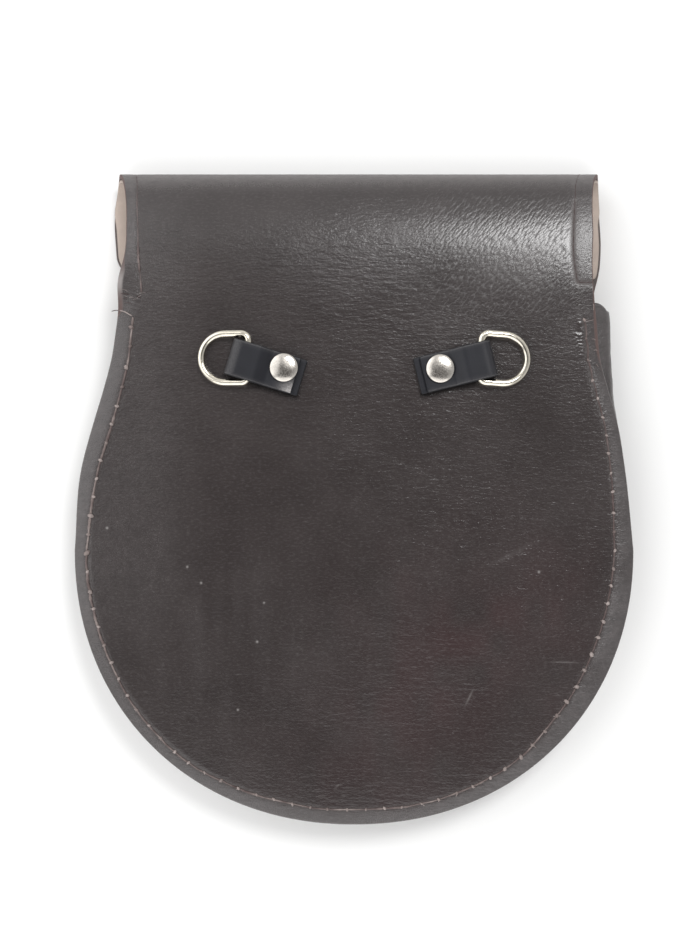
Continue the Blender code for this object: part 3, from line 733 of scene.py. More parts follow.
def crease_points(crease):
    """Places close together along a crease and beside it, on the cut."""
    start, end = crease_ends(crease)
    run = (end - start) / np.linalg.norm(end - start)
    side = np.array([-run[1], run[0]])
    line = resample([start, end], crease.width * 1.3)
    return np.vstack([line + side * crease.width * share for share in CREASE_SIDES])


def loose_places(outline, normals, rings, step, patches, creases, taken):
    """Where a sheet's inner points go: rings along its edge, a grid, fine patches and creases."""
    trace = Trace(np.vstack([outline, outline[:1]]))
    found = []
    for inset in rings:
        ring = (outline - normals * inset)[:: 1 if inset < SPARSE_INSET else 2]
        found.append(ring[trace.nearest(ring)[0] > inset - TRACE_STEP / 2])
    found.append(within(grid_over(outline, step), outline, trace, max((RIM_ROUND, *rings)) + step * 0.6))
    places = np.vstack(found)
    fine = []
    for patch in patches:
        middle = np.array([patch.across, patch.along])
        places = places[np.linalg.norm(places - middle, axis=1) > patch.radius]
        grid = grid_over(middle + circle(0, 0, patch.radius, 8), patch.step)
        grid = grid[np.linalg.norm(grid - middle, axis=1) < patch.radius - patch.step / 2]
        fine.append(within(grid, outline, trace, PATCH_CLEAR))
    for crease in creases:
        near = crease_points(crease)
        outer = Trace(near[: len(near) // len(CREASE_SIDES)])
        places = places[outer.nearest(places)[0] > 3 * crease.width + CREASE_CLEAR]
        fine.append(near)
    places = np.vstack([places, *fine])
    for x, y, radius in taken:
        places = places[np.hypot(places[:, 0] - x, places[:, 1] - y) > radius]
    return places


def leather_sheet(outline, place, thickness, rings, step, under_step, slant=None, patches=(), creases=(), holes=()):
    """A closed sheet of leather with a rounded rim: its points, faces, flat places and depths."""
    normals = loop_normals(outline)
    slant = np.full(len(outline), RIM_ROUND) if slant is None else slant
    taken = [(*h.mean(0), np.ptp(h[:, 0]) * 0.9) for h in holes]
    top_loop = outline - normals * slant[:, None]
    loose = loose_places(outline, normals, rings, step, patches, creases, taken)
    loose = within(loose, top_loop, Trace(np.vstack([top_loop, top_loop[:1]])), TRACE_STEP)
    under_loop = outline - normals * RIM_ROUND
    under_loose = loose_places(outline, normals, rings[2::4], under_step, (), (), taken)
    top, top_faces, top_border = fill(top_loop, holes, loose)
    under, under_faces, under_border = fill(under_loop, holes, under_loose)
    flats = [top, under]
    depths = [np.zeros(len(top)), np.full(len(under), thickness)]
    faces = top_faces.tolist() + (under_faces[:, ::-1] + len(top)).tolist()
    count = len(outline)
    previous = top_border[:count]
    total = len(top) + len(under)
    quarter = np.linspace(0, math.pi / 2, RIM_STEPS + 1)
    upper = [(slant * (1 - np.sin(a)), RIM_ROUND * (1 - np.cos(a))) for a in quarter[1:]]
    lower = [(RIM_ROUND * (1 - np.cos(a)), thickness - RIM_ROUND * (1 - np.sin(a))) for a in quarter[:-1]]
    for inset, depth in upper + lower:
        inset = np.broadcast_to(inset, count)
        flats.append(outline - normals * inset[:, None])
        depths.append(np.full(count, depth))
        ring = np.arange(total, total + count)
        faces += strip(previous, ring)
        previous = ring
        total += count
    faces += strip(previous, under_border[:count] + len(top))
    first = count
    for hole in holes:
        around = slice(first, first + len(hole))
        faces += strip(top_border[around], under_border[around] + len(top))
        first += len(hole)
    flat = np.vstack(flats)
    depth = np.concatenate(depths)
    return place(flat, depth), faces, flat, depth


def strip(one, other):
    """Faces between two rings of points."""
    after = np.roll(np.arange(len(one)), -1)
    return np.stack([one, other, other[after], one[after]], axis=1).tolist()


def add_piece(name, points, faces, finish, layers=None):
    """A closed mesh that rides on the pouch, with its layers of values for the material."""
    mesh = bpy.data.meshes.new(name)
    mesh.from_pydata(np.asarray(points).tolist(), [], faces)
    for layer, values in (layers or {}).items():
        values = np.asarray(values, dtype=np.float32)
        kind, key = ("FLOAT_VECTOR", "vector") if values.ndim == 2 else ("FLOAT", "value")
        mesh.attributes.new(layer, kind, "POINT").data.foreach_set(key, values.ravel())
    work = bmesh.new()
    work.from_mesh(mesh)
    bmesh.ops.recalc_face_normals(work, faces=work.faces)
    work.to_mesh(mesh)
    work.free()
    mesh.shade_smooth()
    mesh.materials.append(finish)
    piece = bpy.data.objects.new(name, mesh)
    bpy.context.scene.collection.objects.link(piece)
    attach(piece, "root")
    return piece


PLY_SWELL = 0.13


def tube(path, radius, sides, up=(0.0, 0.0, 1.0), flat=1.0, plies=0, pitch=1.0, closed=False):
    """A round or flattened tube along a path, twisted like thread where it has plies."""
    path = np.asarray(path)
    run = np.roll(path, -1, axis=0) - np.roll(path, 1, axis=0) if closed else np.gradient(path, axis=0)
    run = run / np.linalg.norm(run, axis=1)[:, None]
    side = np.cross(run, np.asarray(up))
    side /= np.linalg.norm(side, axis=1)[:, None]
    top = np.cross(side, run)
    radius = np.broadcast_to(radius, len(path))
    turn = 2 * math.pi * np.arange(sides) / sides
    twist = 2 * math.pi * lengths_of(path)[:, None] / pitch
    swell = 1 + PLY_SWELL * np.cos(plies * turn[None] - twist) if plies else 1.0
    out = radius[:, None] * swell * np.ones((len(path), sides))
    sideways = side[:, None] * (out * np.cos(turn))[..., None]
    upwards = top[:, None] * (out * flat * np.sin(turn))[..., None]
    points = (path[:, None] + sideways + upwards).reshape(-1, 3)
    rings = np.arange(len(points)).reshape(len(path), sides)
    faces = []
    for i in range(len(path) if closed else len(path) - 1):
        faces += strip(rings[i], rings[(i + 1) % len(path)])
    if not closed:
        faces += [rings[0].tolist(), rings[-1][::-1].tolist()]
    return points, faces


def joined(parts):
    """Several meshes, each (points, faces), as one."""
    points = []
    faces = []
    for some, theirs in parts:
        base = sum(len(p) for p in points)
        points.append(some)
        faces += [[i + base for i in face] for face in theirs]
    return np.vstack(points), faces


# Finishes


class Shading:
    """The nodes of a material or of the room, put together one by one. Most steps give back an output."""

    def __init__(self, owner):
        owner.use_nodes = True
        self.owner = owner
        self.tree = owner.node_tree

    def node(self, kind, inputs=(), **settings):
        """A new node with its inputs, by number or name, and its settings."""
        made = self.tree.nodes.new(kind)
        for key, value in settings.items():
            setattr(made, key, value)
        for key, value in dict(inputs).items():
            self.put(made.inputs[key], value)
        return made

    def put(self, socket, value):
        """A value set on an input, or an output joined to it."""
        if isinstance(value, bpy.types.NodeSocket):
            self.tree.links.new(value, socket)
        else:
            socket.default_value = value

    def layer(self, name, vector=False):
        """One of the layers of values that a piece carries."""
        made = self.node("ShaderNodeAttribute", attribute_name=name)
        return made.outputs["Vector" if vector else "Fac"]

    def stretched(self, vector, scale):
        """Places scaled each way, so that a pattern comes out longer or shorter."""
        return self.node("ShaderNodeMapping", {"Vector": vector, "Scale": scale}).outputs[0]

    def noise(self, vector, size, detail=2.0, rough=0.5):
        """Cloudy noise, with clouds about size across."""
        values = {"Vector": vector, "Scale": 1 / size, "Detail": detail, "Roughness": rough}
        return self.node("ShaderNodeTexNoise", values).outputs[0]

    def cells(self, vector, size, dimensions="3D"):
        """Round cells about size across: 0 in the middle of each, more towards its border."""
        values = {"Vector": vector, "Scale": 1 / size}
        return self.node("ShaderNodeTexVoronoi", values, voronoi_dimensions=dimensions).outputs["Distance"]

    def spread(self, value, low, high, to_low=0.0, to_high=1.0):
        """A value brought from one range to another, and kept in it."""
        values = {0: value, 1: low, 2: high, 3: to_low, 4: to_high}
        return self.node("ShaderNodeMapRange", values).outputs[0]

    def combine(self, how, one, *others):
        """Values put together one after another by a kind of Math node."""
        for other in others:
            one = self.node("ShaderNodeMath", {0: one, 1: other}, operation=how).outputs[0]
        return one

    def mixed(self, share, one, other):
        """One colour where the share is 0, and the other where it is 1."""
        values = {0: share, 6: one, 7: other}
        return self.node("ShaderNodeMix", values, data_type="RGBA").outputs[2]

    def toned(self, share, colour, low, high):
        """A colour that goes from one shade of itself to another."""
        return self.mixed(share, shaded(colour, low), shaded(colour, high))

    def over(self, tone, layer, colour, shade=1.0):
        """A tone with a shade of a colour laid over it where a layer says."""
        return self.mixed(self.layer(layer), tone, shaded(colour, shade))

    def bumped(self, height, depth, below=None):
        """Fine relief of this depth, over coarser relief below it."""
        values = {"Height": height, "Distance": depth, "Strength": 1.0}
        if below is not None:
            values["Normal"] = below
        return self.node("ShaderNodeBump", values).outputs[0]

    def set(self, **sockets):
        """Inputs of the surface, by name."""
        for key, value in sockets.items():
            self.put(self.tree.nodes["Principled BSDF"].inputs[key.replace("_", " ")], value)


def new_finish(name):
    """The nodes of a new material."""
    return Shading(bpy.data.materials.new(name))


def shaded(colour, share=1.0):
    """A colour made darker or lighter, for a node."""
    return (*(c * share for c in colour), 1.0)


# Sizes of the patterns in the leather, and the turn of its strokes near the fold
MOTTLE_SIZE = 0.024
RUBBED_SIZE = 0.0030
DASH_SIZE = 0.0006
FIBRE_SIZE = 0.0006
WRINKLE_SIZE = 0.0016
STROKE_TURN = math.radians(50)


def brown_leather(settings):
    """Dark fine-grained leather with a paler margin, raw reddish edges, a darker reddish tone with some painted shade
    along its seams, a painted shadow under the tabs, painted highlights and small wear.
    """
    made = new_finish("brown_leather")
    cut = made.layer("cut", vector=True)
    margin = made.layer("margin")
    slanting = made.layer("slanting")

    mottle = made.noise(cut, MOTTLE_SIZE, 4.0, 0.6)
    tone = made.toned(made.spread(mottle, 0.35, 0.65), settings.colour, 0.90, 1.10)
    tone = made.over(tone, "blush", settings.blush_colour)
    # The pale margin tone: real rubbing on the margins, and painted highlights where the margin layer also covers the
    # fold's crest, the left side and the gusset's end
    rubbed_and_lit_tone = made.toned(made.noise(cut, RUBBED_SIZE, 4.0, 0.7), settings.margin_and_light_colour, 0.2, 1.8)
    tone = made.mixed(margin, tone, rubbed_and_lit_tone)
    dashes = made.noise(made.stretched(cut, (0.45, 1.0, 1.0)), DASH_SIZE, 2.0, 0.6)
    tone = made.mixed(made.spread(dashes, 0.50, 0.80, 0.0, 0.06), tone, shaded(settings.wear_colour))
    # A darker reddish tone along the seams; along the lining's seam on the right it is strong, as painted shade of
    # the sunken groove
    tone = made.over(tone, "groove", settings.seam_and_tab_shade_colour)
    # A near-black painted shadow along the tabs' lower edges
    tone = made.over(tone, "tab_shadow", settings.seam_and_tab_shade_colour, 0.10)
    # The wear layer also lays a painted highlight on the fold's crest
    tone = made.over(tone, "wear", settings.wear_colour)
    fibre = made.noise(made.stretched(cut, (1.0, 1.0, 3.0)), FIBRE_SIZE, 3.0, 0.7)
    tone = made.mixed(made.layer("raw"), tone, made.toned(fibre, settings.raw_colour, 0.6, 1.5))
    tone = made.mixed(made.layer("flesh"), tone, made.toned(fibre, settings.flesh_colour, 0.7, 1.2))

    pebble = made.cells(made.stretched(cut, (0.8, 1.2, 1.0)), settings.grain_size)
    fine = made.noise(cut, settings.grain_size * 0.45, 3.0, 0.6)
    grain = made.combine("ADD", made.spread(pebble, 0.0, 0.9, 1.0, 0.0), made.spread(fine, 0.3, 0.7, 0.0, 0.7))
    fainter = made.spread(slanting, 0.0, 1.0, 1.0, 0.4)
    coarser = made.spread(margin, 0.0, 1.0, 1.0, 3.0)
    normal = made.bumped(made.combine("MULTIPLY", grain, fainter, coarser), settings.grain_depth)
    wrinkle = made.noise(made.stretched(cut, (0.30, 1.0, 1.0)), WRINKLE_SIZE, 3.0, 0.65)
    wrinkle = made.combine("MULTIPLY", made.spread(wrinkle, 0.35, 0.70), made.layer("wrinkled"))
    normal = made.bumped(wrinkle, settings.grain_depth * 2.0, normal)
    turned = made.node("ShaderNodeMapping", {"Vector": cut, "Rotation": (0.0, 0.0, STROKE_TURN)}).outputs[0]
    stroke = made.cells(made.stretched(turned, (0.36, 1.0, 1.0)), settings.stroke_size, "2D")
    crack = made.combine("POWER", stroke, 2.0)
    ridge = made.combine("MULTIPLY", made.combine("SUBTRACT", 1.0, crack), slanting)
    normal = made.bumped(ridge, settings.stroke_depth, normal)

    uneven = made.combine("ADD", made.spread(mottle, 0.3, 0.7, -0.03, 0.03), made.spread(fine, 0.3, 0.7, 0.05, -0.05))
    in_cracks = made.combine("MULTIPLY", made.spread(crack, 0.10, 0.60, 0.0, 0.35), slanting)
    on_margin = made.combine("MULTIPLY", margin, 0.45)
    dull = made.combine("MAXIMUM", *(made.layer(name) for name in ("flesh", "raw", "groove")), in_cracks, on_margin)
    rough = made.combine("ADD", uneven, settings.roughness, made.combine("MULTIPLY", dull, 0.4))
    made.set(Base_Color=tone, Roughness=rough, Normal=normal, Specular_IOR_Level=0.68)
    return made.owner


def strap_leather(settings):
    """Smooth blue-black leather with rubbed edges, and a painted highlight over the tabs' loops."""
    made = new_finish("strap_leather")
    cut = made.layer("cut", vector=True)
    tone = made.toned(made.noise(cut, 0.004, 3.0), settings.strap_colour, 0.75, 1.3)
    fine = made.noise(cut, 0.00045, 3.0, 0.6)
    # The wear layer holds real wear and the painted highlight over the loop
    worn_and_highlit = made.combine("MULTIPLY", made.layer("wear"), made.spread(fine, 0.4, 0.6, 0.5, 1.0))
    tone = made.mixed(worn_and_highlit, tone, shaded(settings.wear_colour))
    tone = made.over(tone, "raw", settings.strap_colour, 0.6)
    lines = made.noise(made.stretched(cut, (1.0, 0.3, 1.0)), 0.0016, 3.0, 0.6)
    normal = made.bumped(lines, 0.00003, made.bumped(fine, 0.00002))
    rough = made.spread(fine, 0.3, 0.7, 0.40, 0.55)
    made.set(Base_Color=tone, Roughness=rough, Normal=normal, Specular_IOR_Level=0.35)
    return made.owner


def lining_leather(settings):
    """Thin pale undyed leather, matt and a little uneven."""
    made = new_finish("pale_lining")
    cut = made.layer("cut", vector=True)
    mottle = made.noise(cut, 0.012, 4.0, 0.6)
    tone = made.toned(made.spread(mottle, 0.35, 0.65), settings.lining_colour, 0.90, 1.06)
    tone = made.over(tone, "raw", settings.lining_colour, 0.75)
    fibre = made.noise(cut, FIBRE_SIZE, 4.0, 0.7)
    made.set(Base_Color=tone, Roughness=made.spread(fibre, 0.3, 0.7, 0.75, 0.92), Normal=made.bumped(fibre, 0.00006))
    return made.owner


def thread_finish(name, colour, dark, bare):
    """Twisted waxed thread, dark with dye in places."""
    made = new_finish(name)
    place = made.node("ShaderNodeTexCoord").outputs["Object"]
    fibre = made.noise(place, 0.0004, 3.0, 0.7)
    stain = made.spread(made.noise(place, 0.0050, 2.0, 0.6), 0.40, 0.62, 0.0, 0.6)
    pale = made.layer("pale")
    clean = made.combine("MULTIPLY", made.combine("SUBTRACT", 1.0, stain), pale)
    tone = made.mixed(clean, shaded(dark), made.toned(made.spread(fibre, 0.3, 0.7), colour, 0.72, 1.2))
    tone = made.mixed(made.spread(pale, 1.0, 2.0), tone, shaded(bare))
    made.set(Base_Color=tone, Roughness=made.spread(fibre, 0.3, 0.7, 0.5, 0.7), Normal=made.bumped(fibre, 0.00005))
    return made.owner


WIRE_DENTS = 0.000004
CAP_DENTS = 0.000007


def plated_metal(name, colour, roughness, dents):
    """Plated metal with small marks and a slightly uneven polish."""
    made = new_finish(name)
    place = made.node("ShaderNodeTexCoord").outputs["Object"]
    cloud = made.noise(place, 0.0022, 3.0, 0.6)
    marks = made.noise(place, 0.0005, 2.0, 0.6)
    tone = made.toned(made.spread(cloud, 0.35, 0.70), colour, 1.0, 0.86)
    rough = made.spread(marks, 0.3, 0.7, roughness * 0.8, roughness * 1.3)
    made.set(Base_Color=tone, Roughness=rough, Normal=made.bumped(cloud, dents), Metallic=1.0)
    return made.owner


def table_cover(settings):
    """A pale, matt, slightly cloudy table."""
    made = new_finish("pale_table")
    place = made.node("ShaderNodeTexCoord").outputs["Object"]
    tone = made.toned(made.noise(place, 0.12, 3.0, 0.5), settings.floor_colour, 0.985, 1.0)
    made.set(Base_Color=tone, Roughness=0.85, Specular_IOR_Level=0.2)
    return made.owner


# The layers of the looks, each a value from 0 to 1 at every point


def grain_share(depth):
    """1 on the grain face, and 0 below it."""
    return 1 - smoothstep(depth, 0.0001, 0.0004)


def flesh_share(depth, thickness):
    """1 on the flesh face, and 0 elsewhere."""
    return (depth > thickness - FACE_SKIN).astype(float)


def rim_share(depth, thickness):
    """1 on the cut edge, between the grain face and the flesh face, and 0 elsewhere."""
    return ((depth > FACE_SKIN) & (depth < thickness - FACE_SKIN)).astype(float)


def cut_layer(flat, depth, shift=0.0):
    """The places that the pattern of a leather goes by, shifted so that two pieces don't match."""
    return np.column_stack([flat[:, 0], flat[:, 1] + shift, depth])


# The painted shadow under a tab's lower edge: along the tab, past its free end and its loop, and away from the edge
SHADOW_END_BAND = (-0.0012, 0.0004)
SHADOW_LOOP = (0.0010, 0.0020)
SHADOW_BAND = (-0.0020, -0.0002)
SHADOW_STOP_BAND = (-0.0018, -0.0001)


def painted_tab_shadow(x, y):
    """How much painted shadow darkens the leather close along the lower edge of each tab."""
    tab_shadow = np.zeros(len(x))
    for tab in TABS:
        length, along, across = tab_frame(tab)
        offset = np.column_stack([x - tab.end_x, y - tab.end_y])
        way = offset @ along
        below = -(offset @ across) * np.sign(across[1]) - TAB_WIDTH / 2
        past, short = SHADOW_LOOP
        beside = smoothstep(way, *SHADOW_END_BAND) * smoothstep(-way, -length - past, -length + short)
        tab_shadow = np.maximum(tab_shadow, beside * smoothstep(below, *SHADOW_BAND) * smoothstep(-below, *SHADOW_STOP_BAND))
    return tab_shadow


Blush = namedtuple("Blush", "x y radius share")
BLUSHES = rows(
    Blush,
    (0.0330, -0.0500, 0.0320, 0.40),
    (0.0150, -0.0800, 0.0220, 0.18),
    (0.0560, -0.0300, 0.0220, 0.25),
    (-0.0100, -0.0900, 0.0250, 0.12),
)
# The pale margin: how soft its inner border is, where it is more or less rubbed, and where a painted highlight makes
# it paler low on the left
MARGIN_BAND = (-0.0003, 0.0014)
MARGIN_RIGHT_BAND = (0.0200, 0.0600)
MOUTH_LEFT_BAND = (0.0300, 0.0500)
MOUTH_RIGHT_BAND = (0.0300, 0.0420)
LOW_LEFT_HIGHLIGHT_BAND = (0.0500, 0.0750)
LOW_LEFT_HIGHLIGHT_Y = -0.0350
LOW_LEFT_HIGHLIGHT_REACH = 0.0260

# The strips outside the lining's seam and the streaks, which are rubbed too, and the left side, made paler as painted
# light
LEFT_STRIP_BAND = (0.0690, 0.0704)
LEFT_STRIP_STOP_BAND = (-0.0400, -0.0300)
RIGHT_STRIP_BAND = (0.0690, 0.0706)
RIGHT_STRIP_STOP_BAND = (-0.0420, -0.0380)
LEFT_SIDE_LIGHT_BAND = (0.0440, 0.0680)
LEFT_SIDE_LIGHT_STOP_BAND = (-0.0560, -0.0200)
STREAKS_X = -0.0430
STREAKS_Y = -0.0440
STREAKS_REACH = 0.0260

# The painted highlight on the crest of the fold, the darker tone and painted shade along part of the lining's seam,
# the slanting grain near the fold and the wrinkles
CREST_HIGHLIGHT_BAND = (-0.0135, -0.0030)
CREST_HIGHLIGHT_STOP_BAND = (-0.0060, 0.0000)
LINING_SEAM_SHADE_BAND = (0.0120, 0.0190)
SLANTING_X_BAND = (0.0020, 0.0380)
SLANTING_Y_BAND = (0.0450, 0.0700)
SMOOTHER_X_BAND = (0.0250, 0.0550)
SMOOTHER_Y_BAND = (-0.0200, 0.0250)
WRINKLED_BAND = (-0.0400, 0.0200)

# How far down the back the cut edge shows its bare leather, at the right and the left
RIGHT_BARE = (0.0700, 0.0640)
LEFT_BARE = (0.0560, 0.0520)


def back_margin(x, y, marks):
    """How pale the rubbed margin is: most at the right and least beside the mouth, with a painted highlight making it
    paler low on the left.
    """
    margin = smoothstep(seam_inset(marks.run) - marks.edge, *MARGIN_BAND)
    margin = margin * (0.75 + 0.25 * ripple(marks.run, marks.edge, 0.009, 31))
    margin = margin * (0.50 + 0.50 * smoothstep(x, *MARGIN_RIGHT_BAND))
    margin = margin * (1 - 0.65 * (x < 0) * smoothstep(y, *MOUTH_LEFT_BAND))
    margin = margin * (1 - 0.60 * (x > 0) * smoothstep(y, *MOUTH_RIGHT_BAND))
    # Painted highlight: the margin is made paler low on the left
    return margin * (1 + 0.50 * smoothstep(-x, *LOW_LEFT_HIGHLIGHT_BAND) * bell(y - LOW_LEFT_HIGHLIGHT_Y, LOW_LEFT_HIGHLIGHT_REACH))


def back_rubbed_and_lit(x, y, along):
    """How pale the back is elsewhere: rubbed beside the lining's seam and in a few streaks, and made paler down the
    left side as painted light.
    """
    left_strip = smoothstep(-x, *LEFT_STRIP_BAND) * smoothstep(-along, *LEFT_STRIP_STOP_BAND)
    right_strip = smoothstep(x, *RIGHT_STRIP_BAND) * smoothstep(-along, *RIGHT_STRIP_STOP_BAND)
    # Painted light: the back's left side is made paler
    lit_left_side = smoothstep(-x, *LEFT_SIDE_LIGHT_BAND) * smoothstep(y, *LEFT_SIDE_LIGHT_STOP_BAND)
    streaks = np.clip(0.2 + ripple(x, 0.2 * y, 0.0030, 33), 0, 1)
    streaks = streaks * bell(np.hypot(1.3 * (x - STREAKS_X), y - STREAKS_Y), STREAKS_REACH)
    return np.maximum(0.55 * left_strip, 0.35 * right_strip) + 0.24 * lit_left_side + 0.16 * streaks


def back_wear(flat, x, y):
    """How scratched the back's face is, by its creases and specks."""
    wear = sum(c.wear * crease_share(flat, c) for c in CREASES)
    for speck in SPECKS:
        wear = np.maximum(wear, 0.55 * bell(np.hypot(x - speck.x, y - speck.y), speck.radius * 0.8))
    return wear


def back_layers(flat, depth, thickness):
    """The layers of the back's look."""
    marks = back_marks(flat)
    x, y = marks.plan.T
    along = flat[:, 1]
    grain = grain_share(depth)
    back = grain * (along > 0)
    rim = rim_share(depth, thickness)
    margin = back_margin(x, y, marks) * grain
    # Painted highlight on the fold's crest, laid on with the margin and wear tones
    crest = smoothstep(-along, *CREST_HIGHLIGHT_BAND) * smoothstep(along, *CREST_HIGHLIGHT_STOP_BAND) * grain
    # Along the lining's seam on the right the darkening is strong: painted shade of its groove
    lining_seam_shade = np.where(x > 0, 0.9 * smoothstep(along, *LINING_SEAM_SHADE_BAND), 0.35)
    groove = np.maximum(0.50 * bell(marks.seam, 0.0007), lining_seam_shade * bell(marks.lining, 0.0008)) * grain
    blush = sum(b.share * bell(np.hypot(x - b.x, y - b.y), b.radius) for b in BLUSHES)
    blush = blush * (0.75 + 0.6 * ripple(x, 0.6 * y, 0.006, 32))
    mouth = bell(along - LEFT_MOUTH_ALONG, 0.0050) * (x < 0)
    wear = np.maximum(back_wear(flat, x, y) * back, 0.60 * mouth * rim + 0.14 * crest)
    slanting = smoothstep(x, *SLANTING_X_BAND) * smoothstep(y, *SLANTING_Y_BAND)
    slanting = slanting * (1 - 0.4 * smoothstep(x, *RIGHT_STRIP_BAND))
    wrinkled = 1.30 - 0.65 * smoothstep(x, *SMOOTHER_X_BAND) * smoothstep(y, *SMOOTHER_Y_BAND)
    wrinkled = wrinkled * (0.55 + 0.45 * smoothstep(x, *WRINKLED_BAND)) * (1 - 0.85 * slanting)
    stop, full = np.where(x[:, None] > 0, RIGHT_BARE, LEFT_BARE).T
    bare = smoothstep(-along, -stop, -full)
    return {
        "cut": cut_layer(flat, depth),
        # The margin layer also carries the painted highlight on the fold's crest and the painted light down the left
        # side
        "margin": np.clip(margin + crest + back_rubbed_and_lit(x, y, along) * back, 0, 1),
        "wrinkled": wrinkled + 1.6 * margin,
        "groove": groove,
        # Painted shadow close under the tabs' lower edges
        "tab_shadow": 0.9 * painted_tab_shadow(x, y) * back,
        "blush": np.clip(blush * back, 0, 1),
        "wear": np.clip(wear, 0, 1),
        "slanting": slanting,
        "raw": rim * (1 - 0.7 * mouth) * (0.15 + 0.85 * bare),
        "flesh": flesh_share(depth, thickness),
    }


# The pieces

# How much further in the back's cut edge is slanted off by the mouth, at the right and the left
RIGHT_SLANT = 0.0010
RIGHT_SLANT_Y = 0.0520
RIGHT_SLANT_REACH = 0.0100
LEFT_SLANT = 0.0015
LEFT_SLANT_BAND = (0.0330, 0.0390)
LEFT_SLANT_STOP_BAND = (-0.0530, -0.0500)


def make_back(settings):
    """The back panel, the fold and the flap, with holes for the rivets."""
    outline = resample(back_outline(), EDGE_STEP, closed=True)
    across, along = outline.T
    right = bell(to_plan(outline)[:, 1] - RIGHT_SLANT_Y, RIGHT_SLANT_REACH) * (across > 0) * (along > 0)
    left = smoothstep(along, *LEFT_SLANT_BAND) * smoothstep(-along, *LEFT_SLANT_STOP_BAND) * (across < 0)
    slant = RIM_ROUND + RIGHT_SLANT * right + LEFT_SLANT * left

    def place(flat, depth):
        detail = back_detail(flat, back_marks(flat))
        return bend(flat, detail * (1 - depth / LEATHER) - depth)

    radius = RIVET_POST_RADIUS + HOLE_CLEARANCE
    holes = [circle(t.rivet_x, ALONG_TO_Y - t.rivet_y, radius, HOLE_SIDES) for t in TABS]
    points, faces, flat, depth = leather_sheet(
        outline, place, LEATHER, EDGE_RINGS, GRID_STEP, UNDER_STEP, slant, BACK_PATCHES, CREASES, holes
    )
    layers = back_layers(flat, depth, LEATHER)
    piece = add_piece("back_and_flap_leather", points, faces, brown_leather(settings), layers)
    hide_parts("back_and_flap")


def rounded_corners(loop, size):
    """A closed loop whose sharp corners are cut to a small curve."""
    fine = resample(loop, size / 3, closed=True)
    for _ in range(3):
        fine = (np.roll(fine, 1, axis=0) + 2 * fine + np.roll(fine, -1, axis=0)) / 4
    return fine


SHEET_CORNER = 0.0012
LINING_EDGE_STEP = 0.0009
LINING_RINGS = (0.0012, 0.0024, 0.0040)
LINING_GRID_STEP = 0.0026
LINING_UNDER_STEP = 0.0034


def make_lining(settings):
    """The lining, on the flesh side of the flap and over the fold."""
    outline = resample(rounded_corners(lining_outline(), SHEET_CORNER), LINING_EDGE_STEP, closed=True)

    def place(flat, depth):
        return bend(flat, -LEATHER - GAP - depth)

    points, faces, flat, depth = leather_sheet(
        outline, place, LINING, LINING_RINGS, LINING_GRID_STEP, LINING_UNDER_STEP
    )
    layers = {"cut": cut_layer(flat, depth), "raw": rim_share(depth, LINING)}
    piece = add_piece("flap_lining_leather", points, faces, lining_leather(settings), layers)
    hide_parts("flap_lining")


def front_outline():
    """The edge of the front panel in plan, anticlockwise."""
    along = ALONG_TO_Y - FRONT_TOP_Y
    right = side_line("right", along, ROUND_START)
    left = side_line("left", ROUND_START, along)
    body = to_plan(np.vstack([right, round_bottom()[1:-1], left]))
    return body[::-1]


FRONT_COARSER = 1.3
FRONT_SHIFT = 0.3
FRONT_GROOVE = 0.00052
FRONT_WRINKLE = 0.00004
FRONT_WRINKLE_BAND = (-0.0050, -0.0015)


def make_front():
    """The front panel, over the flap and down to the table."""
    outline = rounded_corners(front_outline(), SHEET_CORNER)
    outline = resample(outline, EDGE_STEP * FRONT_COARSER, closed=True)

    def place(flat, depth):
        edge, run = BODY_EDGE.nearest(flat)
        seam, seam_run = BODY_SEAM_TRACE.nearest(flat)
        rise = margin_drop(edge, flat[:, 1]) + stud_bump(*flat.T) + front_base(flat)
        phase = 2 * math.pi * seam_run / BODY_STITCH
        groove = FRONT_GROOVE * bell(seam, 0.0007) * (0.8 + 0.2 * np.cos(phase))
        wrinkle = smoothstep(-edge, *FRONT_WRINKLE_BAND) * FRONT_WRINKLE * (1 + ripple(run, edge, 0.0016, 41))
        return np.column_stack([flat, rise + depth + (groove + wrinkle) * (1 - depth / LEATHER)])

    hole = circle(STUD_X, STUD_Y, STUD_POST_RADIUS + HOLE_CLEARANCE, HOLE_SIDES)
    points, faces, flat, depth = leather_sheet(
        outline, place, LEATHER, EDGE_RINGS, GRID_STEP * FRONT_COARSER, UNDER_STEP, holes=[hole]
    )
    edge, run = BODY_EDGE.nearest(flat)
    grain = grain_share(depth)
    layers = {
        "cut": cut_layer(flat, depth, FRONT_SHIFT),
        "margin": smoothstep(seam_inset(run) - edge, *MARGIN_BAND) * 0.8 * grain,
        "groove": 0.5 * bell(BODY_SEAM_TRACE.nearest(flat)[0], 0.0006) * grain,
        "wrinkled": np.full(len(flat), 0.7),
        "raw": 0.5 * rim_share(depth, LEATHER),
        "flesh": flesh_share(depth, LEATHER),
    }
    piece = add_piece("front_panel_leather", points, faces, bpy.data.materials["brown_leather"], layers)
    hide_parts("front_panel")


def softened(line, count):
    """An open line with its corners cut, as this many points evenly along it."""
    for _ in range(2):
        cut = [line[:1]]
        before = line[:-1] * 0.75 + line[1:] * 0.25
        after = line[:-1] * 0.25 + line[1:] * 0.75
        cut.append(np.stack([before, after], axis=1).reshape(-1, line.shape[1]))
        line = np.vstack([*cut, line[-1:]])
    return points_at(line, np.linspace(0, lengths_of(line)[-1], count))


# How the gusset's sections are laid out, and how far its ends are set back at the mouth
GUSSET_STEP = 0.0009
GUSSET_INSETS = (SEAM_MARGIN, 0.0070, 0.0056, 0.0042, SEAM_INSET + SEAM_ROLL)
WALL_POINTS = 17
SECTION_POINTS = 40
SECTION_WIDTH = 0.036
END_SETBACK = 0.0032
END_REACH = 0.0090
GUSSET_SHIFT = 0.5


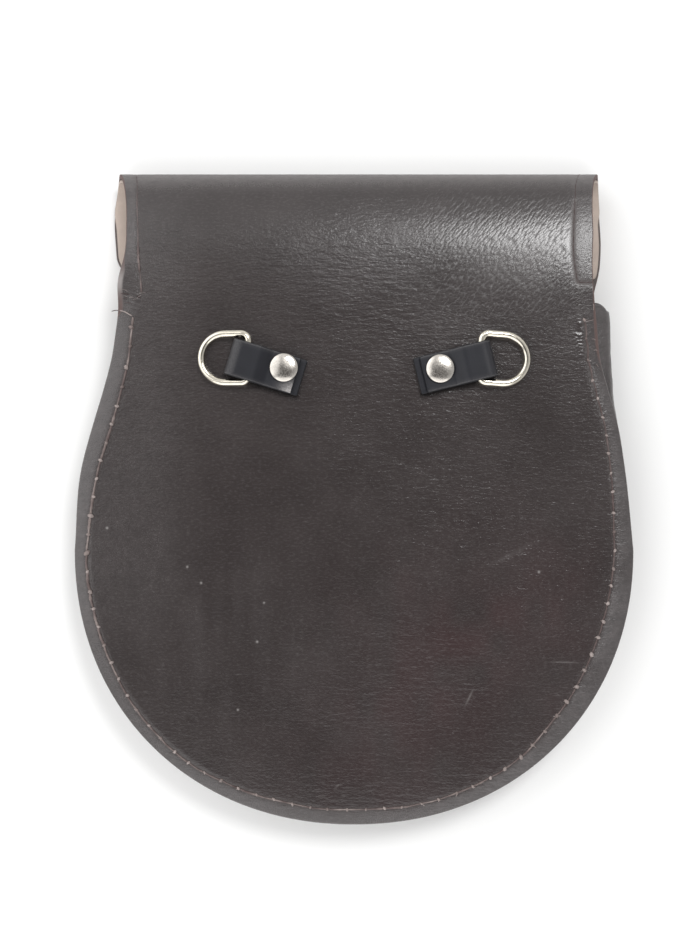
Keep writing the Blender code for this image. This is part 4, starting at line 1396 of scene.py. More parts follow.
def gusset_sections(run, edge):
    """The gusset's sections at lengths round the body, as (out, z) over the outer face and back over the inner."""
    upper = []
    lower = []
    for inset in GUSSET_INSETS:
        insets = np.full(len(run), inset)
        places = body_places(run, insets)
        drop = margin_drop(insets, places[:, 1])
        upper.append((inset, BODY_HEIGHT - LEATHER - GAP - drop))
        lower.append((inset, front_base(places) + LEATHER + GAP + drop))
    drop = margin_drop(np.full(len(run), SEAM_INSET), edge[:, 1])
    high = BODY_HEIGHT - LEATHER - GAP - drop - SEAM_ROLL * 0.75
    low = front_base(edge) + LEATHER + GAP + drop + SEAM_ROLL * 0.75
    bow = SEAM_INSET + BOW + MOUTH_BOW * bell(run, MOUTH_BOW_REACH)
    bow = bow + SIDE_BOW * bell(run - SIDE_BOW_RUN, SIDE_BOW_REACH)
    bow = bow + 0.00022 * line_ripple(run, 0.011, 51) + 0.0001 * line_ripple(run, 0.0035, 52)
    sections = []
    for i in range(len(run)):
        line = [(-inset, z[i]) for inset, z in upper]
        for t in np.linspace(0, 1, WALL_POINTS):
            swell = (1 - abs(2 * t - 1) ** 3) ** 0.6
            line.append((bow[i] * swell - SEAM_INSET, high[i] + (low[i] - high[i]) * t))
        line += [(-inset, z[i]) for inset, z in reversed(lower)]
        line = softened(np.array(line), SECTION_POINTS)
        normal = np.gradient(line, axis=0)
        normal = np.stack([-normal[:, 1], normal[:, 0]], axis=1)
        normal /= np.linalg.norm(normal, axis=1)[:, None]
        sections.append(np.vstack([line, (line - normal * GUSSET)[::-1]]))
    return np.array(sections)


def make_gusset():
    """The gusset, one strip of leather with its seam margins turned in."""
    run = np.linspace(0, BODY_RUN[-1], round(BODY_RUN[-1] / GUSSET_STEP) + 1)
    edge = body_places(run, np.zeros(len(run)))
    sections = gusset_sections(run, edge)
    out = body_out(run)
    out /= np.linalg.norm(out, axis=1)[:, None]
    along = np.stack([-out[:, 1], out[:, 0]], axis=1)
    along *= np.sign((along * np.gradient(edge, axis=0)).sum(1))[:, None]
    set_back = END_SETBACK * bell(run, END_REACH)[:, None] * np.clip(sections[..., 0] / MOUTH_BOW, 0, 1) ** 2.5
    flat = edge[:, None] + out[:, None] * sections[..., :1] + along[:, None] * set_back[..., None]
    points = np.concatenate([flat, sections[..., 1:]], axis=2).reshape(-1, 3)
    count = SECTION_POINTS
    rings = np.arange(len(points)).reshape(len(run), 2 * count)
    faces = []
    for i in range(len(run) - 1):
        faces += strip(rings[i], rings[i + 1])
    for ring in (rings[0].tolist(), rings[-1].tolist()):
        faces += [[ring[j], ring[j + 1], ring[2 * count - 2 - j], ring[2 * count - 1 - j]] for j in range(count - 1)]
    across = np.linspace(0, SECTION_WIDTH, count)
    across = np.tile(np.concatenate([across, np.linspace(SECTION_WIDTH, 0, count)]), len(run))
    flesh = np.tile(np.repeat([0.0, 1.0], count), len(run))
    layers = {
        "cut": np.column_stack([across, np.repeat(run, 2 * count) + GUSSET_SHIFT, flesh * GUSSET]),
        "flesh": flesh,
        "wrinkled": np.full(len(points), 0.5),
        # Painted sheen: the gusset's end by the mouth is made paler with the margin tone
        "margin": np.repeat(0.9 * bell(run, 0.0300), 2 * count) * (1 - flesh),
    }
    piece = add_piece("gusset_leather", points, faces, bpy.data.materials["brown_leather"], layers)
    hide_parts("gusset", "gusset_seam_upper", "gusset_seam_lower")


def bar_height():
    """The height of the middle of a ring's bar."""
    return BODY_HEIGHT + GAP + STRAP + BAR_CLEARANCE + WIRE_RADIUS


def tab_frame(tab):
    """The length of a tab, and the directions along it and across it."""
    run = np.array([tab.loop_x - tab.end_x, tab.loop_y - tab.end_y])
    length = float(np.linalg.norm(run))
    along = run / length
    return length, along, np.array([-along[1], along[0]])


def tab_line(length):
    """The strap's middle line as (along, z), from its free end round the loop to the upper end."""
    low = BODY_HEIGHT + GAP + STRAP / 2
    high = bar_height() + WIRE_RADIUS + GAP + STRAP / 2
    flat = low + STRAP + GAP
    radius = (high - low) / 2
    turn = length - radius - STRAP / 2
    crest = length - LOOP_TO_BAR - LOOP_CREST
    foot = crest - LOOP_SLOPE
    angle = np.linspace(0, math.pi, 25)
    arc = np.stack([turn + radius * np.sin(angle), low + radius * (1 - np.cos(angle))], axis=1)
    t = np.linspace(0, 1, 15)
    slope = np.stack([crest + (foot - crest) * t, high + (flat - high) * smoothstep(t, 0, 1)], axis=1)
    return np.vstack([[(0.0, low)], arc, slope, [(TAB_SETBACK, flat)]])


TAB_LINE_STEP = 0.0002
TAB_EDGE_STEP = 0.0005
TAB_RINGS = (0.0008,)
TAB_GRID_STEP = 0.0007
TAB_UNDER_STEP = 0.0009


def tab_wear_and_highlight(tab, length, flat, end):
    """How rubbed a tab is at one corner and along its edges, with a painted highlight over its loop."""
    way, side = flat.T
    half = TAB_WIDTH / 2
    corner = tab.corner_wear * bell(np.hypot(way - end, side - half), 0.0034)
    edges = 0.15 * smoothstep(np.abs(side), half - 0.0010, half - 0.0003)
    radius = (bar_height() + WIRE_RADIUS - BODY_HEIGHT) / 2
    start = length - radius - STRAP / 2
    stop = start + math.pi * radius
    loop = smoothstep(way, start, start + 0.002) * smoothstep(-way, -stop - 0.0008, -stop + 0.0002)
    # The band over the loop is a painted highlight in the wear tone
    return np.maximum(np.maximum(corner, edges), tab.loop_wear * loop)


def make_tab(tab, finish):
    """A strap tab, folded round its ring's bar, with a hole for the rivet through both layers."""
    length, along, across = tab_frame(tab)
    start = np.array([tab.end_x, tab.end_y])
    line = resample(tab_line(length), TAB_LINE_STEP)
    reach = lengths_of(line)
    run = np.gradient(line, axis=0)
    run /= np.linalg.norm(run, axis=1)[:, None]
    half = TAB_WIDTH / 2
    corners = np.array([(0, -half), (reach[-1], -half), (reach[-1], half), (0, half)])
    outline = resample(rounded_corners(corners, TAB_CORNER), TAB_EDGE_STEP, closed=True)

    def place(flat, depth):
        way, side = flat.T
        middle = read(way, reach, line).T
        tangent = read(way, reach, run).T
        size = np.hypot(*tangent)
        soft = 0.00002 * ripple(way, side + 0.02, 0.005, tab.strap_seed)
        height = (depth - STRAP / 2) + soft * (1 - depth / STRAP)
        spot = start + along * (middle[0] - tangent[1] / size * height)[:, None] + across * side[:, None]
        return np.column_stack([spot, middle[1] + tangent[0] / size * height])

    offset = np.array([tab.rivet_x, tab.rivet_y]) - start
    lower = float(offset @ along)
    upper = reach[-1] - (lower - TAB_SETBACK)
    side = float(offset @ across)
    holes = [circle(way, side, RIVET_POST_RADIUS + HOLE_CLEARANCE, HOLE_SIDES) for way in (lower, upper)]
    points, faces, flat, depth = leather_sheet(
        outline, place, STRAP, TAB_RINGS, TAB_GRID_STEP, TAB_UNDER_STEP, holes=holes
    )
    layers = {
        "cut": cut_layer(flat, depth),
        "raw": rim_share(depth, STRAP),
        # Wear at the corner and edges, and a painted highlight over the loop
        "wear": np.clip(tab_wear_and_highlight(tab, length, flat, reach[-1]) * (depth < 0.0004), 0, 1),
    }
    piece = add_piece(f"tab_{tab.side}_strap", points, faces, finish, layers)
    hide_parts(f"tab_{tab.side}")


WIRE_STEP = 0.00045
WIRE_SIDES = 28


def make_ring(tab, finish):
    """A wire ring: its bar in the loop of the tab and its bow down on the back panel."""
    half = RING_BOW_RADIUS
    corner = RING_CORNER
    bow = np.linspace(math.pi / 2, -math.pi / 2, 49)
    quarter = np.linspace(0, math.pi / 2, 10)
    path = np.vstack(
        [
            np.stack([RING_ARM + half * np.cos(bow), half * np.sin(bow)], axis=1),
            np.stack([corner * (1 - np.sin(quarter)), -half + corner * (1 - np.cos(quarter))], axis=1),
            np.stack([corner * (1 - np.cos(quarter)), half - corner * (1 - np.sin(quarter))], axis=1),
        ]
    )
    arm, side = resample(path, WIRE_STEP, closed=True).T
    down = arm * math.cos(RING_TILT)
    turn = math.radians(tab.ring_turn)
    x = tab.bar_x + down * math.cos(turn) - side * math.sin(turn)
    y = tab.bar_y + down * math.sin(turn) + side * math.cos(turn)
    world = np.column_stack([x, y, bar_height() - arm * math.sin(RING_TILT)])
    points, faces = tube(world, WIRE_SHOWN_RADIUS, WIRE_SIDES, closed=True)
    piece = add_piece(f"d_ring_{tab.side}_wire", points, faces, finish, None)
    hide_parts(f"d_ring_{tab.side}")


def turned(profile, x, y, sides):
    """A turned solid about an upright axis through a profile of (radius, z) from bottom to top."""
    rings = np.array([[(x + px, y + py, z) for px, py in circle(0, 0, radius, sides)] for radius, z in profile[1:-1]])
    points = np.vstack([rings.reshape(-1, 3), [(x, y, profile[0][1])], [(x, y, profile[-1][1])]])
    index = np.arange(len(rings) * sides).reshape(len(rings), sides)
    faces = []
    for i in range(len(rings) - 1):
        faces += strip(index[i], index[i + 1])
    bottom = len(points) - 2
    after = np.roll(np.arange(sides), -1)
    faces += [[bottom, int(index[0][k]), int(index[0][j])] for j, k in enumerate(after)]
    faces += [[bottom + 1, int(index[-1][j]), int(index[-1][k])] for j, k in enumerate(after)]
    return points, faces


CAP_SIDES = 72
CAP_TOP = 0.00096
CAP_WAVE = 0.00004
CAP_WAVE_SIZE = 0.0022


def make_rivet(tab, finish):
    """A double-cap rivet through the back and both layers of a tab."""
    low = BODY_HEIGHT - LEATHER - GAP
    cap = BODY_HEIGHT + 3 * GAP + 2 * STRAP
    under = low - INNER_CAP
    rim = RIVET_CAP_RADIUS
    top = cap + RIVET_RIM * 0.55
    inner = [(0.0, under), (rim - INNER_CAP_ROUND, under), (rim, under + INNER_CAP_ROUND), (rim, low)]
    post = [(RIVET_POST_RADIUS, low), (RIVET_POST_RADIUS, cap)]
    lip = [(rim - RIVET_LIP * (1 - math.sin(a)), cap + RIVET_LIP * (1 - math.cos(a))) for a in np.linspace(0, 1.5, 5)]
    dome = [(rim * math.cos(a), top + RIVET_DOME * math.sin(a)) for a in np.linspace(0.15, 1.5, 16)]
    profile = [*inner, *post, *lip, *dome, (0.0, top + CAP_TOP)]
    points, faces = turned(profile, tab.rivet_x, tab.rivet_y, CAP_SIDES)
    above = points[:, 2] > cap + RIVET_RIM * 0.5
    points[:, 2] += above * CAP_WAVE * ripple(points[:, 0], points[:, 1], CAP_WAVE_SIZE, tab.cap_seed)
    piece = add_piece(f"rivet_{tab.side}_caps", points, faces, finish, None)
    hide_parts(f"rivet_{tab.side}")


def back_height(places):
    """The height of the back panel's grain face in plan, without its grooves."""
    edge = BODY_EDGE.nearest(places)[0]
    return BODY_HEIGHT - margin_drop(edge, places[:, 1]) + back_wave(*places.T)


# The threads: how finely they are drawn, and how long a turn of their two plies is
THREAD_STEP = 0.00025
THREAD_SIDES = 10
KNOT_SIDES = 8
KNOT_POINTS = 13
STRAND_SIDES = 6
STRAND_POINTS = 9
BODY_TWIST = {"plies": 2, "pitch": 0.0021}
LINING_TWIST = {"plies": 2, "pitch": 0.0013}
PRESSED = 0.62

# Knots that are bigger than the rest, and the stretch at the lower right where they all are
Knot = namedtuple("Knot", "x y size")
KNOTS = rows(Knot, (-0.0834, -0.0028, 1.6), (-0.0849, -0.0155, 1.9), (0.0751, 0.0396, 1.5))
KNOT_REACH = 0.0022
BIG_KNOTS = 0.6
BIG_KNOTS_RUN = 0.1300
BIG_KNOTS_REACH = 0.0350
KNOT_SEED = 81
HOLE_STRAY = 0.0003
TAIL_WIDTH = 0.00012

# Frayed strands, from one end to the other
Strand = namedtuple("Strand", "x1 y1 x2 y2 rise width pale")
STRANDS = rows(
    Strand,
    (-0.0736, 0.0663, -0.0716, 0.0657, 0.0003, 0.00005, 1.5),
    (-0.0740, 0.0650, -0.0714, 0.0648, 0.0003, 0.00011, 0.0),
    (-0.0734, 0.0643, -0.0718, 0.0640, 0.0003, 0.00005, 1.4),
    (-0.0732, 0.0633, -0.0718, 0.0637, 0.0003, 0.00009, 0.0),
    (-0.0715, 0.0637, -0.0699, 0.0639, 0.0003, 0.00007, 1.9),
    (-0.0703, 0.0629, -0.0690, 0.0634, 0.0003, 0.00006, 1.4),
    (-0.0692, 0.0633, -0.0674, 0.0646, 0.0005, 0.00005, 1.6),
    (-0.0690, 0.0641, -0.0677, 0.0637, 0.0004, 0.00010, 0.0),
    (-0.0686, 0.0648, -0.0662, 0.0654, 0.0004, 0.00005, 1.5),
    (-0.0727, 0.0621, -0.0706, 0.0619, 0.0003, 0.00008, 0.3),
    (0.0736, 0.0559, 0.0762, 0.0569, 0.0002, 0.00007, 1.5),
    (0.0756, 0.0506, 0.0769, 0.0505, 0.0002, 0.00010, 1.5),
    (0.0762, 0.0470, 0.0775, 0.0472, 0.0002, 0.00010, 1.6),
    (0.0759, 0.0618, 0.0762, 0.0600, 0.0002, 0.00009, 1.5),
    (0.0768, 0.0425, 0.0778, 0.0419, 0.0002, 0.00009, 1.3),
)

# The loose end of the body's thread at the left of the mouth, and how pale it is along it
LOOSE_END = np.array(
    [
        (-0.0705, 0.0579, 0.0197),
        (-0.0714, 0.0584, 0.0202),
        (-0.0727, 0.0592, 0.0203),
        (-0.0742, 0.0596, 0.0203),
        (-0.0758, 0.0597, 0.0201),
        (-0.0770, 0.0594, 0.0198),
    ]
)
LOOSE_END_POINTS = 40
LOOSE_END_PLACES = (0, 4, 22, 27, 39)
LOOSE_END_PALE = (0.9, 1.8, 1.8, 0.1, 0.0)


def hole_knots():
    """At each hole of the body's seam, the short thick cross strand and a thin tail."""
    rng = np.random.default_rng(KNOT_SEED)
    holes = np.arange(SEAM_START, SEAM_RUN[-1], BODY_STITCH)
    holes = holes + rng.uniform(-HOLE_STRAY, HOLE_STRAY, len(holes))
    spots = body_places(holes, seam_inset(holes))
    swell = sum((k.size - 1) * bell(np.hypot(*(spots - (k.x, k.y)).T), KNOT_REACH) for k in KNOTS)
    swell = swell + 1 + BIG_KNOTS * bell(holes - BIG_KNOTS_RUN, BIG_KNOTS_REACH)
    t = np.linspace(-1, 1, KNOT_POINTS)
    parts = []
    for spot, normal, height, size in zip(spots, body_out(holes), back_height(spots), swell):
        thick = rng.uniform(0.00034, 0.00048) * size * (1.0 + 0.3 * (spot[0] < -0.0700))
        cross = (rng.uniform(-1.2, 1.2), rng.uniform(0.9, 1.3) * thick, thick)
        tail = (rng.uniform(-1.1, 1.1), rng.uniform(0.0004, 0.0011) * size, TAIL_WIDTH)
        for turn, reach, width in (cross, tail):
            c = math.cos(turn)
            s = math.sin(turn)
            across = np.array([normal[0] * c - normal[1] * s, normal[0] * s + normal[1] * c])
            shift = rng.uniform(-0.0002, 0.0002)
            lift = height - 0.0003 + (0.00020 + width * 0.8) * np.cos(t * math.pi / 2) ** 0.7
            path = np.column_stack([spot + across * (t * reach + shift)[:, None], lift])
            round_off = np.sqrt(np.clip(1.02 - t**2, 0, None)) if width == thick else 1.0
            mesh = tube(path, width * round_off, KNOT_SIDES)
            parts.append((*mesh, np.full(KNOT_POINTS * KNOT_SIDES, rng.uniform(1.0, 1.9))))
    return parts


def loose_strands(radius):
    """The loose end of the body's thread at the left of the mouth, and the frayed strands by it."""
    line = softened(LOOSE_END, LOOSE_END_POINTS)
    width = radius * np.linspace(0.55, 0.30, len(line))
    pale = np.interp(np.arange(len(line)), LOOSE_END_PLACES, LOOSE_END_PALE)
    parts = [(*tube(line, width, KNOT_SIDES, **BODY_TWIST), np.repeat(pale, KNOT_SIDES))]
    t = np.linspace(0, 1, STRAND_POINTS)
    for strand in STRANDS:
        place = np.stack([strand.x1 + (strand.x2 - strand.x1) * t, strand.y1 + (strand.y2 - strand.y1) * t], axis=1)
        z = back_height(place) + strand.rise * np.sin(math.pi * t) - strand.width * 0.3
        path = np.column_stack([place + 0.0001 * np.sin(5 * t)[:, None], z])
        mesh = tube(path, strand.width, STRAND_SIDES)
        parts.append((*mesh, np.full(STRAND_POINTS * STRAND_SIDES, strand.pale)))
    return parts


def add_thread(name, parts, finish):
    """One piece of thread from tubes that each have points, faces and how pale they are."""
    points, faces = joined([part[:2] for part in parts])
    add_piece(name, points, faces, finish, {"pale": np.concatenate([part[2] for part in parts])})


def make_body_stitches(settings):
    """The hand-sewn seam round the body: a laid thread, with a cross strand at each hole on the back."""
    run = np.arange(SEAM_RUN[0], SEAM_RUN[-1], THREAD_STEP)
    between = np.abs(np.sin(math.pi * (run - SEAM_START) / BODY_STITCH))
    sway = 0.00016 * line_ripple(run, 0.0050, 82)
    sway -= 0.00045 * np.clip(line_ripple(run, 0.0300, 88), 0, 1) * between
    line = body_places(run, seam_inset(run) + sway)
    dip = bell(np.mod(run - SEAM_START + BODY_STITCH / 2, BODY_STITCH) - BODY_STITCH / 2, 0.0007)
    radius = settings.body_radius * (0.66 + 0.34 * smoothstep(run, 0.290, 0.350))
    z = back_height(line) - SEAM_DEPTH + radius * (0.40 - 0.5 * dip)
    width = radius * (1 + 0.38 * line_ripple(run, 0.0030, 83))
    pale = 0.80 + 0.30 * line_ripple(run, 0.0120, 84) + 0.55 * line_ripple(run, 0.0022, 87)
    pale = np.clip(pale, 0, 2) * (0.40 + 0.60 * smoothstep(run, 0.1000, 0.1700))
    laid = tube(np.column_stack([line, z]), width, THREAD_SIDES, **BODY_TWIST)
    parts = [(*laid, np.repeat(pale, THREAD_SIDES)), *hole_knots(), *loose_strands(settings.body_radius)]
    finish = thread_finish("body_thread", settings.body_colour, settings.dark_colour, settings.bare_colour)
    add_thread("body_stitches_back", parts, finish)
    under = body_places(run, seam_inset(run))
    edge = BODY_EDGE.nearest(under)[0]
    base = front_base(under) + stud_bump(*under.T) + margin_drop(edge, under[:, 1])
    z = base + 0.00027 + 0.0005 * dip
    seam = tube(np.column_stack([under, z]), 0.00030, THREAD_SIDES, flat=PRESSED, **BODY_TWIST)
    add_thread("body_stitches_front", [(*seam, np.repeat(pale, THREAD_SIDES))], finish)


LINING_THREAD_STEP = 0.00022
LINING_SIDES = 8


def make_lining_stitches(settings):
    """The machine-sewn seam of the lining, over the fold and round the flap."""
    line = resample(lining_seam_line(), LINING_THREAD_STEP)
    across, along = line.T
    reach = lengths_of(line)
    below = along < 0
    rise = np.abs(np.sin(math.pi * reach / settings.lining_stitch)) ** 0.6
    shown = np.where(across < 0, np.interp(along, *np.array(LINING_SHOWN).T), LINING_SHOWN_RIGHT)
    radius = settings.lining_radius * np.where(below, 1.0, shown)
    height = np.where(below, radius * 0.6, radius) * (rise * 1.5 - 0.6) - lining_groove(line)
    height = height - np.where(below, 0.0, 0.00010 * (1 - shown))
    points = bend(line, np.minimum(height, np.where(below, -radius * 0.85, 1.0)))
    angle = np.clip(along / FOLD_RADIUS, -math.pi / 2, math.pi / 2)
    up = np.stack([0 * angle, np.cos(angle), np.sin(angle)], axis=1)
    radius = radius * (0.85 + 0.25 * line_ripple(reach, 0.0045, 86))
    mesh = tube(points, radius, LINING_SIDES, up=up, flat=PRESSED, **LINING_TWIST)
    left = (across < 0) * smoothstep(along, 0.0060, 0.0180)
    pale = left * (0.75 + 0.6 * line_ripple(reach, 0.0040, 85)) + 0.25 * below
    finish = thread_finish("lining_thread", settings.lining_colour, settings.dark_colour, settings.bare_colour)
    add_thread("lining_stitches", [(*mesh, np.repeat(np.clip(pale, 0, 1.2), LINING_SIDES))], finish)


# The table, the light and the camera

TABLE_HALF = 3.0
CORNERS = ((-1, -1), (1, -1), (1, 1), (-1, 1))
AIM = (0.0, 0.0, 0.01)
Light = namedtuple("Light", "name place width power share")
LIGHTS = rows(
    Light,
    ("ceiling_light", (0.43, 0.67, 1.39), 0.50, "key_power", 1.0),
    ("window_light", (-1.36, 0.435, 1.00), 2.60, "fill_power", 1.0),
    ("lamp_light", (-0.11, -1.44, 0.975), 2.60, "fill_power", 1.1),
)
CAMERA_X = -0.0013
CAMERA_Y = 0.0101
CAMERA_LENS = 58.34
SENSOR_WIDTH = 36.0
CAMERA_NEAR = 0.01


def pale_room(settings):
    """A pale room that is dimmer straight overhead and towards the near side, where the viewer stands."""
    world = bpy.data.worlds.new("pale_room")
    room = Shading(world)
    way = room.node("ShaderNodeTexCoord").outputs["Generated"]
    x, y, z = room.node("ShaderNodeSeparateXYZ", {0: way}).outputs
    wide = room.spread(room.combine("ABSOLUTE", x, 0.0), 0.16, 0.46, 1.0, 0.0)
    near = room.spread(y, 0.04, 0.26, 1.0, 0.0)
    far = room.spread(y, -0.92, -0.72)
    walls = room.toned(room.spread(z, 0.1, 0.9), settings.room_colour, 1.9, 1.0)
    walls = room.mixed(room.spread(y, 0.25, 0.75), walls, shaded(settings.room_colour, 2.2))
    sky = room.tree.nodes["Background"]
    dim = room.combine("MULTIPLY", wide, near, far)
    room.put(sky.inputs["Color"], room.mixed(dim, walls, shaded(settings.dim_colour)))
    sky.inputs["Strength"].default_value = settings.room_strength
    return world


def put_out(name, data, place):
    """An object of the stage, in its place."""
    made = bpy.data.objects.new(name, data)
    made.location = place
    bpy.context.scene.collection.objects.link(made)
    return made


def make_stage(settings):
    """The table, the lights, the room and the camera."""
    mesh = bpy.data.meshes.new("pale_table")
    mesh.from_pydata([(x * TABLE_HALF, y * TABLE_HALF, 0) for x, y in CORNERS], [], [(0, 1, 2, 3)])
    mesh.materials.append(table_cover(settings))
    put_out("pale_table", mesh, (0.0, 0.0, 0.0))
    for light in LIGHTS:
        lamp = bpy.data.lights.new(light.name, "AREA")
        lamp.shape = "DISK"
        lamp.size = light.width
        lamp.energy = getattr(settings, light.power) * light.share
        aim = np.array(light.place) - np.array(AIM)
        tilt = math.acos(aim[2] / np.linalg.norm(aim))
        turn = math.atan2(aim[1], aim[0]) + math.pi / 2
        put_out(light.name, lamp, light.place).rotation_euler = (tilt, 0.0, turn)
    scene = bpy.context.scene
    scene.world = pale_room(settings)
    camera = bpy.data.cameras.new("camera")
    camera.lens = CAMERA_LENS
    camera.sensor_width = SENSOR_WIDTH
    camera.clip_start = CAMERA_NEAR
    scene.camera = put_out("camera", camera, (CAMERA_X, CAMERA_Y, settings.camera_height))
    scene.view_settings.view_transform = "Standard"


# The settings, operators and panel


def colour_setting(name, description, default):
    """A colour that the panel shows."""
    return FloatVectorProperty(
        name=name, description=description, default=default, subtype="COLOR", size=3, min=0.0, max=1.0
    )


def length_setting(name, description, default):
    """A length that the panel shows."""
    return FloatProperty(name=name, description=description, default=default, unit="LENGTH")


def share_setting(name, description, default):
    """A share from 0 to 1 that the panel shows."""
    return FloatProperty(name=name, description=description, default=default, min=0, max=1)


def power_setting(name, description, default):
    """A power that the panel shows."""
    return FloatProperty(name=name, description=description, default=default, unit="POWER")


class SporranLeather(bpy.types.PropertyGroup):
    """Colours and grain of the leathers"""

    colour: colour_setting("Leather", "Colour of the grain face of the body", (0.0325, 0.0262, 0.0258))
    blush_colour: colour_setting("Blush", "Reddish tone where the dye is thin", (0.048, 0.0255, 0.0262))
    # The margin colour also paints highlights: on the fold's crest, down the back's left side, low on the left margin
    # and on the gusset's end
    margin_and_light_colour: colour_setting("Margin", "Tone of the rubbed seam margin", (0.062, 0.054, 0.054))
    # This colour also lays painted shade along the seams and, very dark, the painted shadow under the tabs
    seam_and_tab_shade_colour: colour_setting("Seam", "Tone of the leather in the sunken seams", (0.030, 0.018, 0.016))
    wear_colour: colour_setting("Wear", "Tone of scratches and rubbed spots", (0.42, 0.40, 0.39))
    raw_colour: colour_setting("Cut edge", "Tone of the cut edges", (0.075, 0.042, 0.037))
    flesh_colour: colour_setting("Flesh side", "Tone of the flesh side inside the pouch", (0.075, 0.058, 0.052))
    strap_colour: colour_setting("Strap", "Colour of the strap tabs", (0.0080, 0.0085, 0.0125))
    lining_colour: colour_setting("Lining", "Colour of the lining", (0.53, 0.445, 0.39))
    grain_size: length_setting("Grain", "Width of a pebble of the grain", 0.00085)
    grain_depth: length_setting("Grain depth", "Depth of the grain", 0.000022)
    stroke_size: length_setting("Slanting grain", "Width of a stroke of the grain near the fold", 0.00075)
    stroke_depth: length_setting("Slanting depth", "Depth of the grain near the fold", 0.000039)
    roughness: share_setting("Roughness", "Roughness of the grain face", 0.20)


class SporranThread(bpy.types.PropertyGroup):
    """Sizes and colours of the threads"""

    body_radius: length_setting("Body thread", "Radius of the body's thread", 0.00038)
    lining_radius: length_setting("Lining thread", "Radius of the lining's thread", 0.00034)
    lining_stitch: length_setting("Lining stitch", "Length of a stitch of the lining", 0.0030)
    body_colour: colour_setting("Body thread colour", "Colour of the body's thread", (0.190, 0.152, 0.142))
    lining_colour: colour_setting("Lining thread colour", "Colour of the lining's thread", (0.190, 0.150, 0.142))
    dark_colour: colour_setting("Dyed thread colour", "Colour of thread that took up dye", (0.046, 0.025, 0.024))
    bare_colour: colour_setting("Bare thread colour", "Colour of thread without dye", (0.34, 0.29, 0.275))


class SporranMetal(bpy.types.PropertyGroup):
    """Colours and polish of the metal"""

    wire_colour: colour_setting("Rings", "Colour of the ring wire", (0.76, 0.71, 0.61))
    cap_colour: colour_setting("Rivets", "Colour of the rivet caps", (0.66, 0.62, 0.57))
    wire_roughness: share_setting("Ring roughness", "Roughness of the ring wire", 0.16)
    cap_roughness: share_setting("Rivet roughness", "Roughness of the rivet caps", 0.23)


class SporranStage(bpy.types.PropertyGroup):
    """The table, the lights and the camera"""

    floor_colour: colour_setting("Table", "Colour of the table", (0.90, 0.90, 0.895))
    room_colour: colour_setting("Room", "Colour of the light from the room", (1.0, 1.0, 1.0))
    dim_colour: colour_setting("Dim part", "Colour of the dim part of the room overhead", (0.16, 0.15, 0.15))
    room_strength: FloatProperty(name="Room light", description="Strength of the room's light", default=0.42, min=0)
    key_power: power_setting("Ceiling light", "Power of the ceiling light", 9.5)
    fill_power: power_setting("Window light", "Power of the window light", 20.5)
    camera_height: length_setting("Camera height", "Height of the camera", 0.5)


class SPORRAN_OT_back(bpy.types.Operator):
    """Make the back panel, fold and flap from one cut of leather"""

    bl_idname = "sporran.back"
    bl_label = "Back Panel and Flap"

    def execute(self, context):
        make_back(context.scene.sporran_leather)
        return {"FINISHED"}


class SPORRAN_OT_lining(bpy.types.Operator):
    """Make the pale lining of the flap"""

    bl_idname = "sporran.lining"
    bl_label = "Flap Lining"

    def execute(self, context):
        make_lining(context.scene.sporran_leather)
        return {"FINISHED"}


class SPORRAN_OT_front(bpy.types.Operator):
    """Make the front panel under the flap"""

    bl_idname = "sporran.front"
    bl_label = "Front Panel"

    def execute(self, context):
        make_front()
        return {"FINISHED"}


class SPORRAN_OT_gusset(bpy.types.Operator):
    """Make the gusset round the sides and bottom"""

    bl_idname = "sporran.gusset"
    bl_label = "Gusset"

    def execute(self, context):
        make_gusset()
        return {"FINISHED"}


class SPORRAN_OT_tabs(bpy.types.Operator):
    """Make the two folded strap tabs"""

    bl_idname = "sporran.tabs"
    bl_label = "Strap Tabs"

    def execute(self, context):
        finish = strap_leather(context.scene.sporran_leather)
        for tab in TABS:
            make_tab(tab, finish)
        return {"FINISHED"}


class SPORRAN_OT_metal(bpy.types.Operator):
    """Make the rings and rivets, and finish the closing stud"""

    bl_idname = "sporran.metal"
    bl_label = "Rings, Rivets and Stud"

    def execute(self, context):
        settings = context.scene.sporran_metal
        wire = plated_metal("nickel_wire", settings.wire_colour, settings.wire_roughness, WIRE_DENTS)
        caps = plated_metal("rivet_nickel", settings.cap_colour, settings.cap_roughness, CAP_DENTS)
        for tab in TABS:
            make_ring(tab, wire)
            make_rivet(tab, caps)
        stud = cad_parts["closing_stud"]
        stud.data.materials.clear()
        stud.data.materials.append(caps)
        return {"FINISHED"}


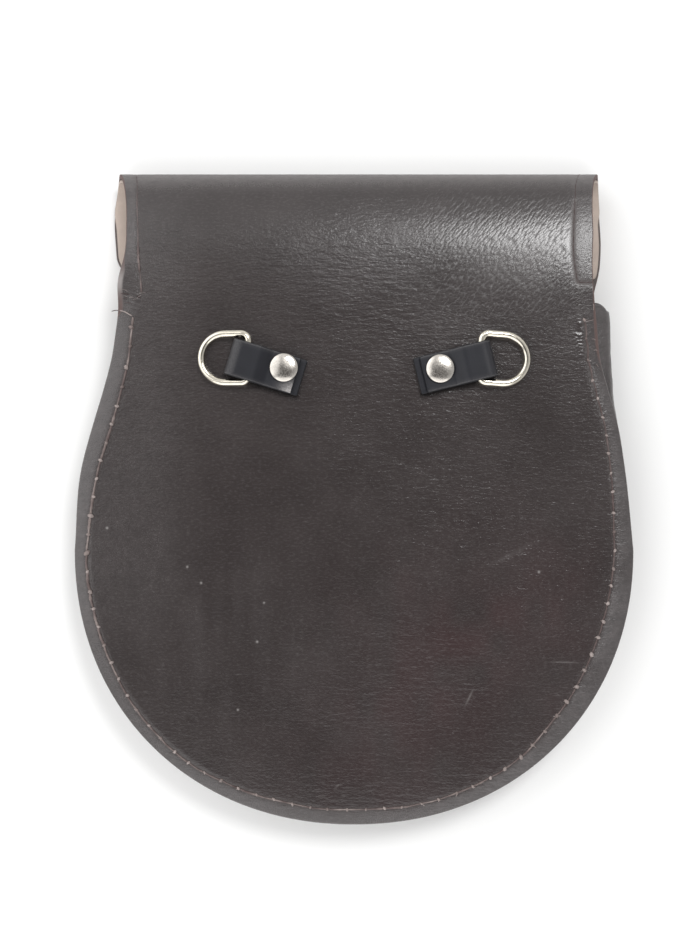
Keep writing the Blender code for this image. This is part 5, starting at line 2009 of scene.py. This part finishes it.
class SPORRAN_OT_stitches(bpy.types.Operator):
    """Sew the seams of the body and of the lining"""

    bl_idname = "sporran.stitches"
    bl_label = "Stitches"

    def execute(self, context):
        make_body_stitches(context.scene.sporran_thread)
        make_lining_stitches(context.scene.sporran_thread)
        return {"FINISHED"}


class SPORRAN_OT_stage(bpy.types.Operator):
    """Set up the pale table, the light and the camera"""

    bl_idname = "sporran.stage"
    bl_label = "Table, Light and Camera"

    def execute(self, context):
        make_stage(context.scene.sporran_stage)
        return {"FINISHED"}


OPERATORS = (
    SPORRAN_OT_stage,
    SPORRAN_OT_back,
    SPORRAN_OT_lining,
    SPORRAN_OT_front,
    SPORRAN_OT_gusset,
    SPORRAN_OT_tabs,
    SPORRAN_OT_metal,
    SPORRAN_OT_stitches,
)
GROUPS = {
    "sporran_leather": SporranLeather,
    "sporran_thread": SporranThread,
    "sporran_metal": SporranMetal,
    "sporran_stage": SporranStage,
}


class SPORRAN_PT_pouch(bpy.types.Panel):
    """Settings and steps of the sporran pouch"""

    bl_label = "Sporran Pouch"
    bl_idname = "SPORRAN_PT_pouch"
    bl_space_type = "VIEW_3D"
    bl_region_type = "UI"
    bl_category = "Sporran"

    def draw(self, context):
        for key, group in GROUPS.items():
            box = self.layout.box()
            for name in group.__annotations__:
                box.prop(getattr(context.scene, key), name)
        for operator in OPERATORS:
            self.layout.operator(operator.bl_idname)


def register():
    """Register the add-on and its settings."""
    for made in (*GROUPS.values(), *OPERATORS, SPORRAN_PT_pouch):
        bpy.utils.register_class(made)
    for key, group in GROUPS.items():
        setattr(bpy.types.Scene, key, PointerProperty(type=group))


def unregister():
    """Take the add-on and its settings away again."""
    for key in GROUPS:
        delattr(bpy.types.Scene, key)
    for made in (SPORRAN_PT_pouch, *reversed(OPERATORS), *reversed(GROUPS.values())):
        bpy.utils.unregister_class(made)


def main():
    """Run every step once."""
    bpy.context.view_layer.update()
    register()
    for operator in OPERATORS:
        group, name = operator.bl_idname.split(".")
        getattr(getattr(bpy.ops, group), name)()


if __name__ == "__main__":
    main()
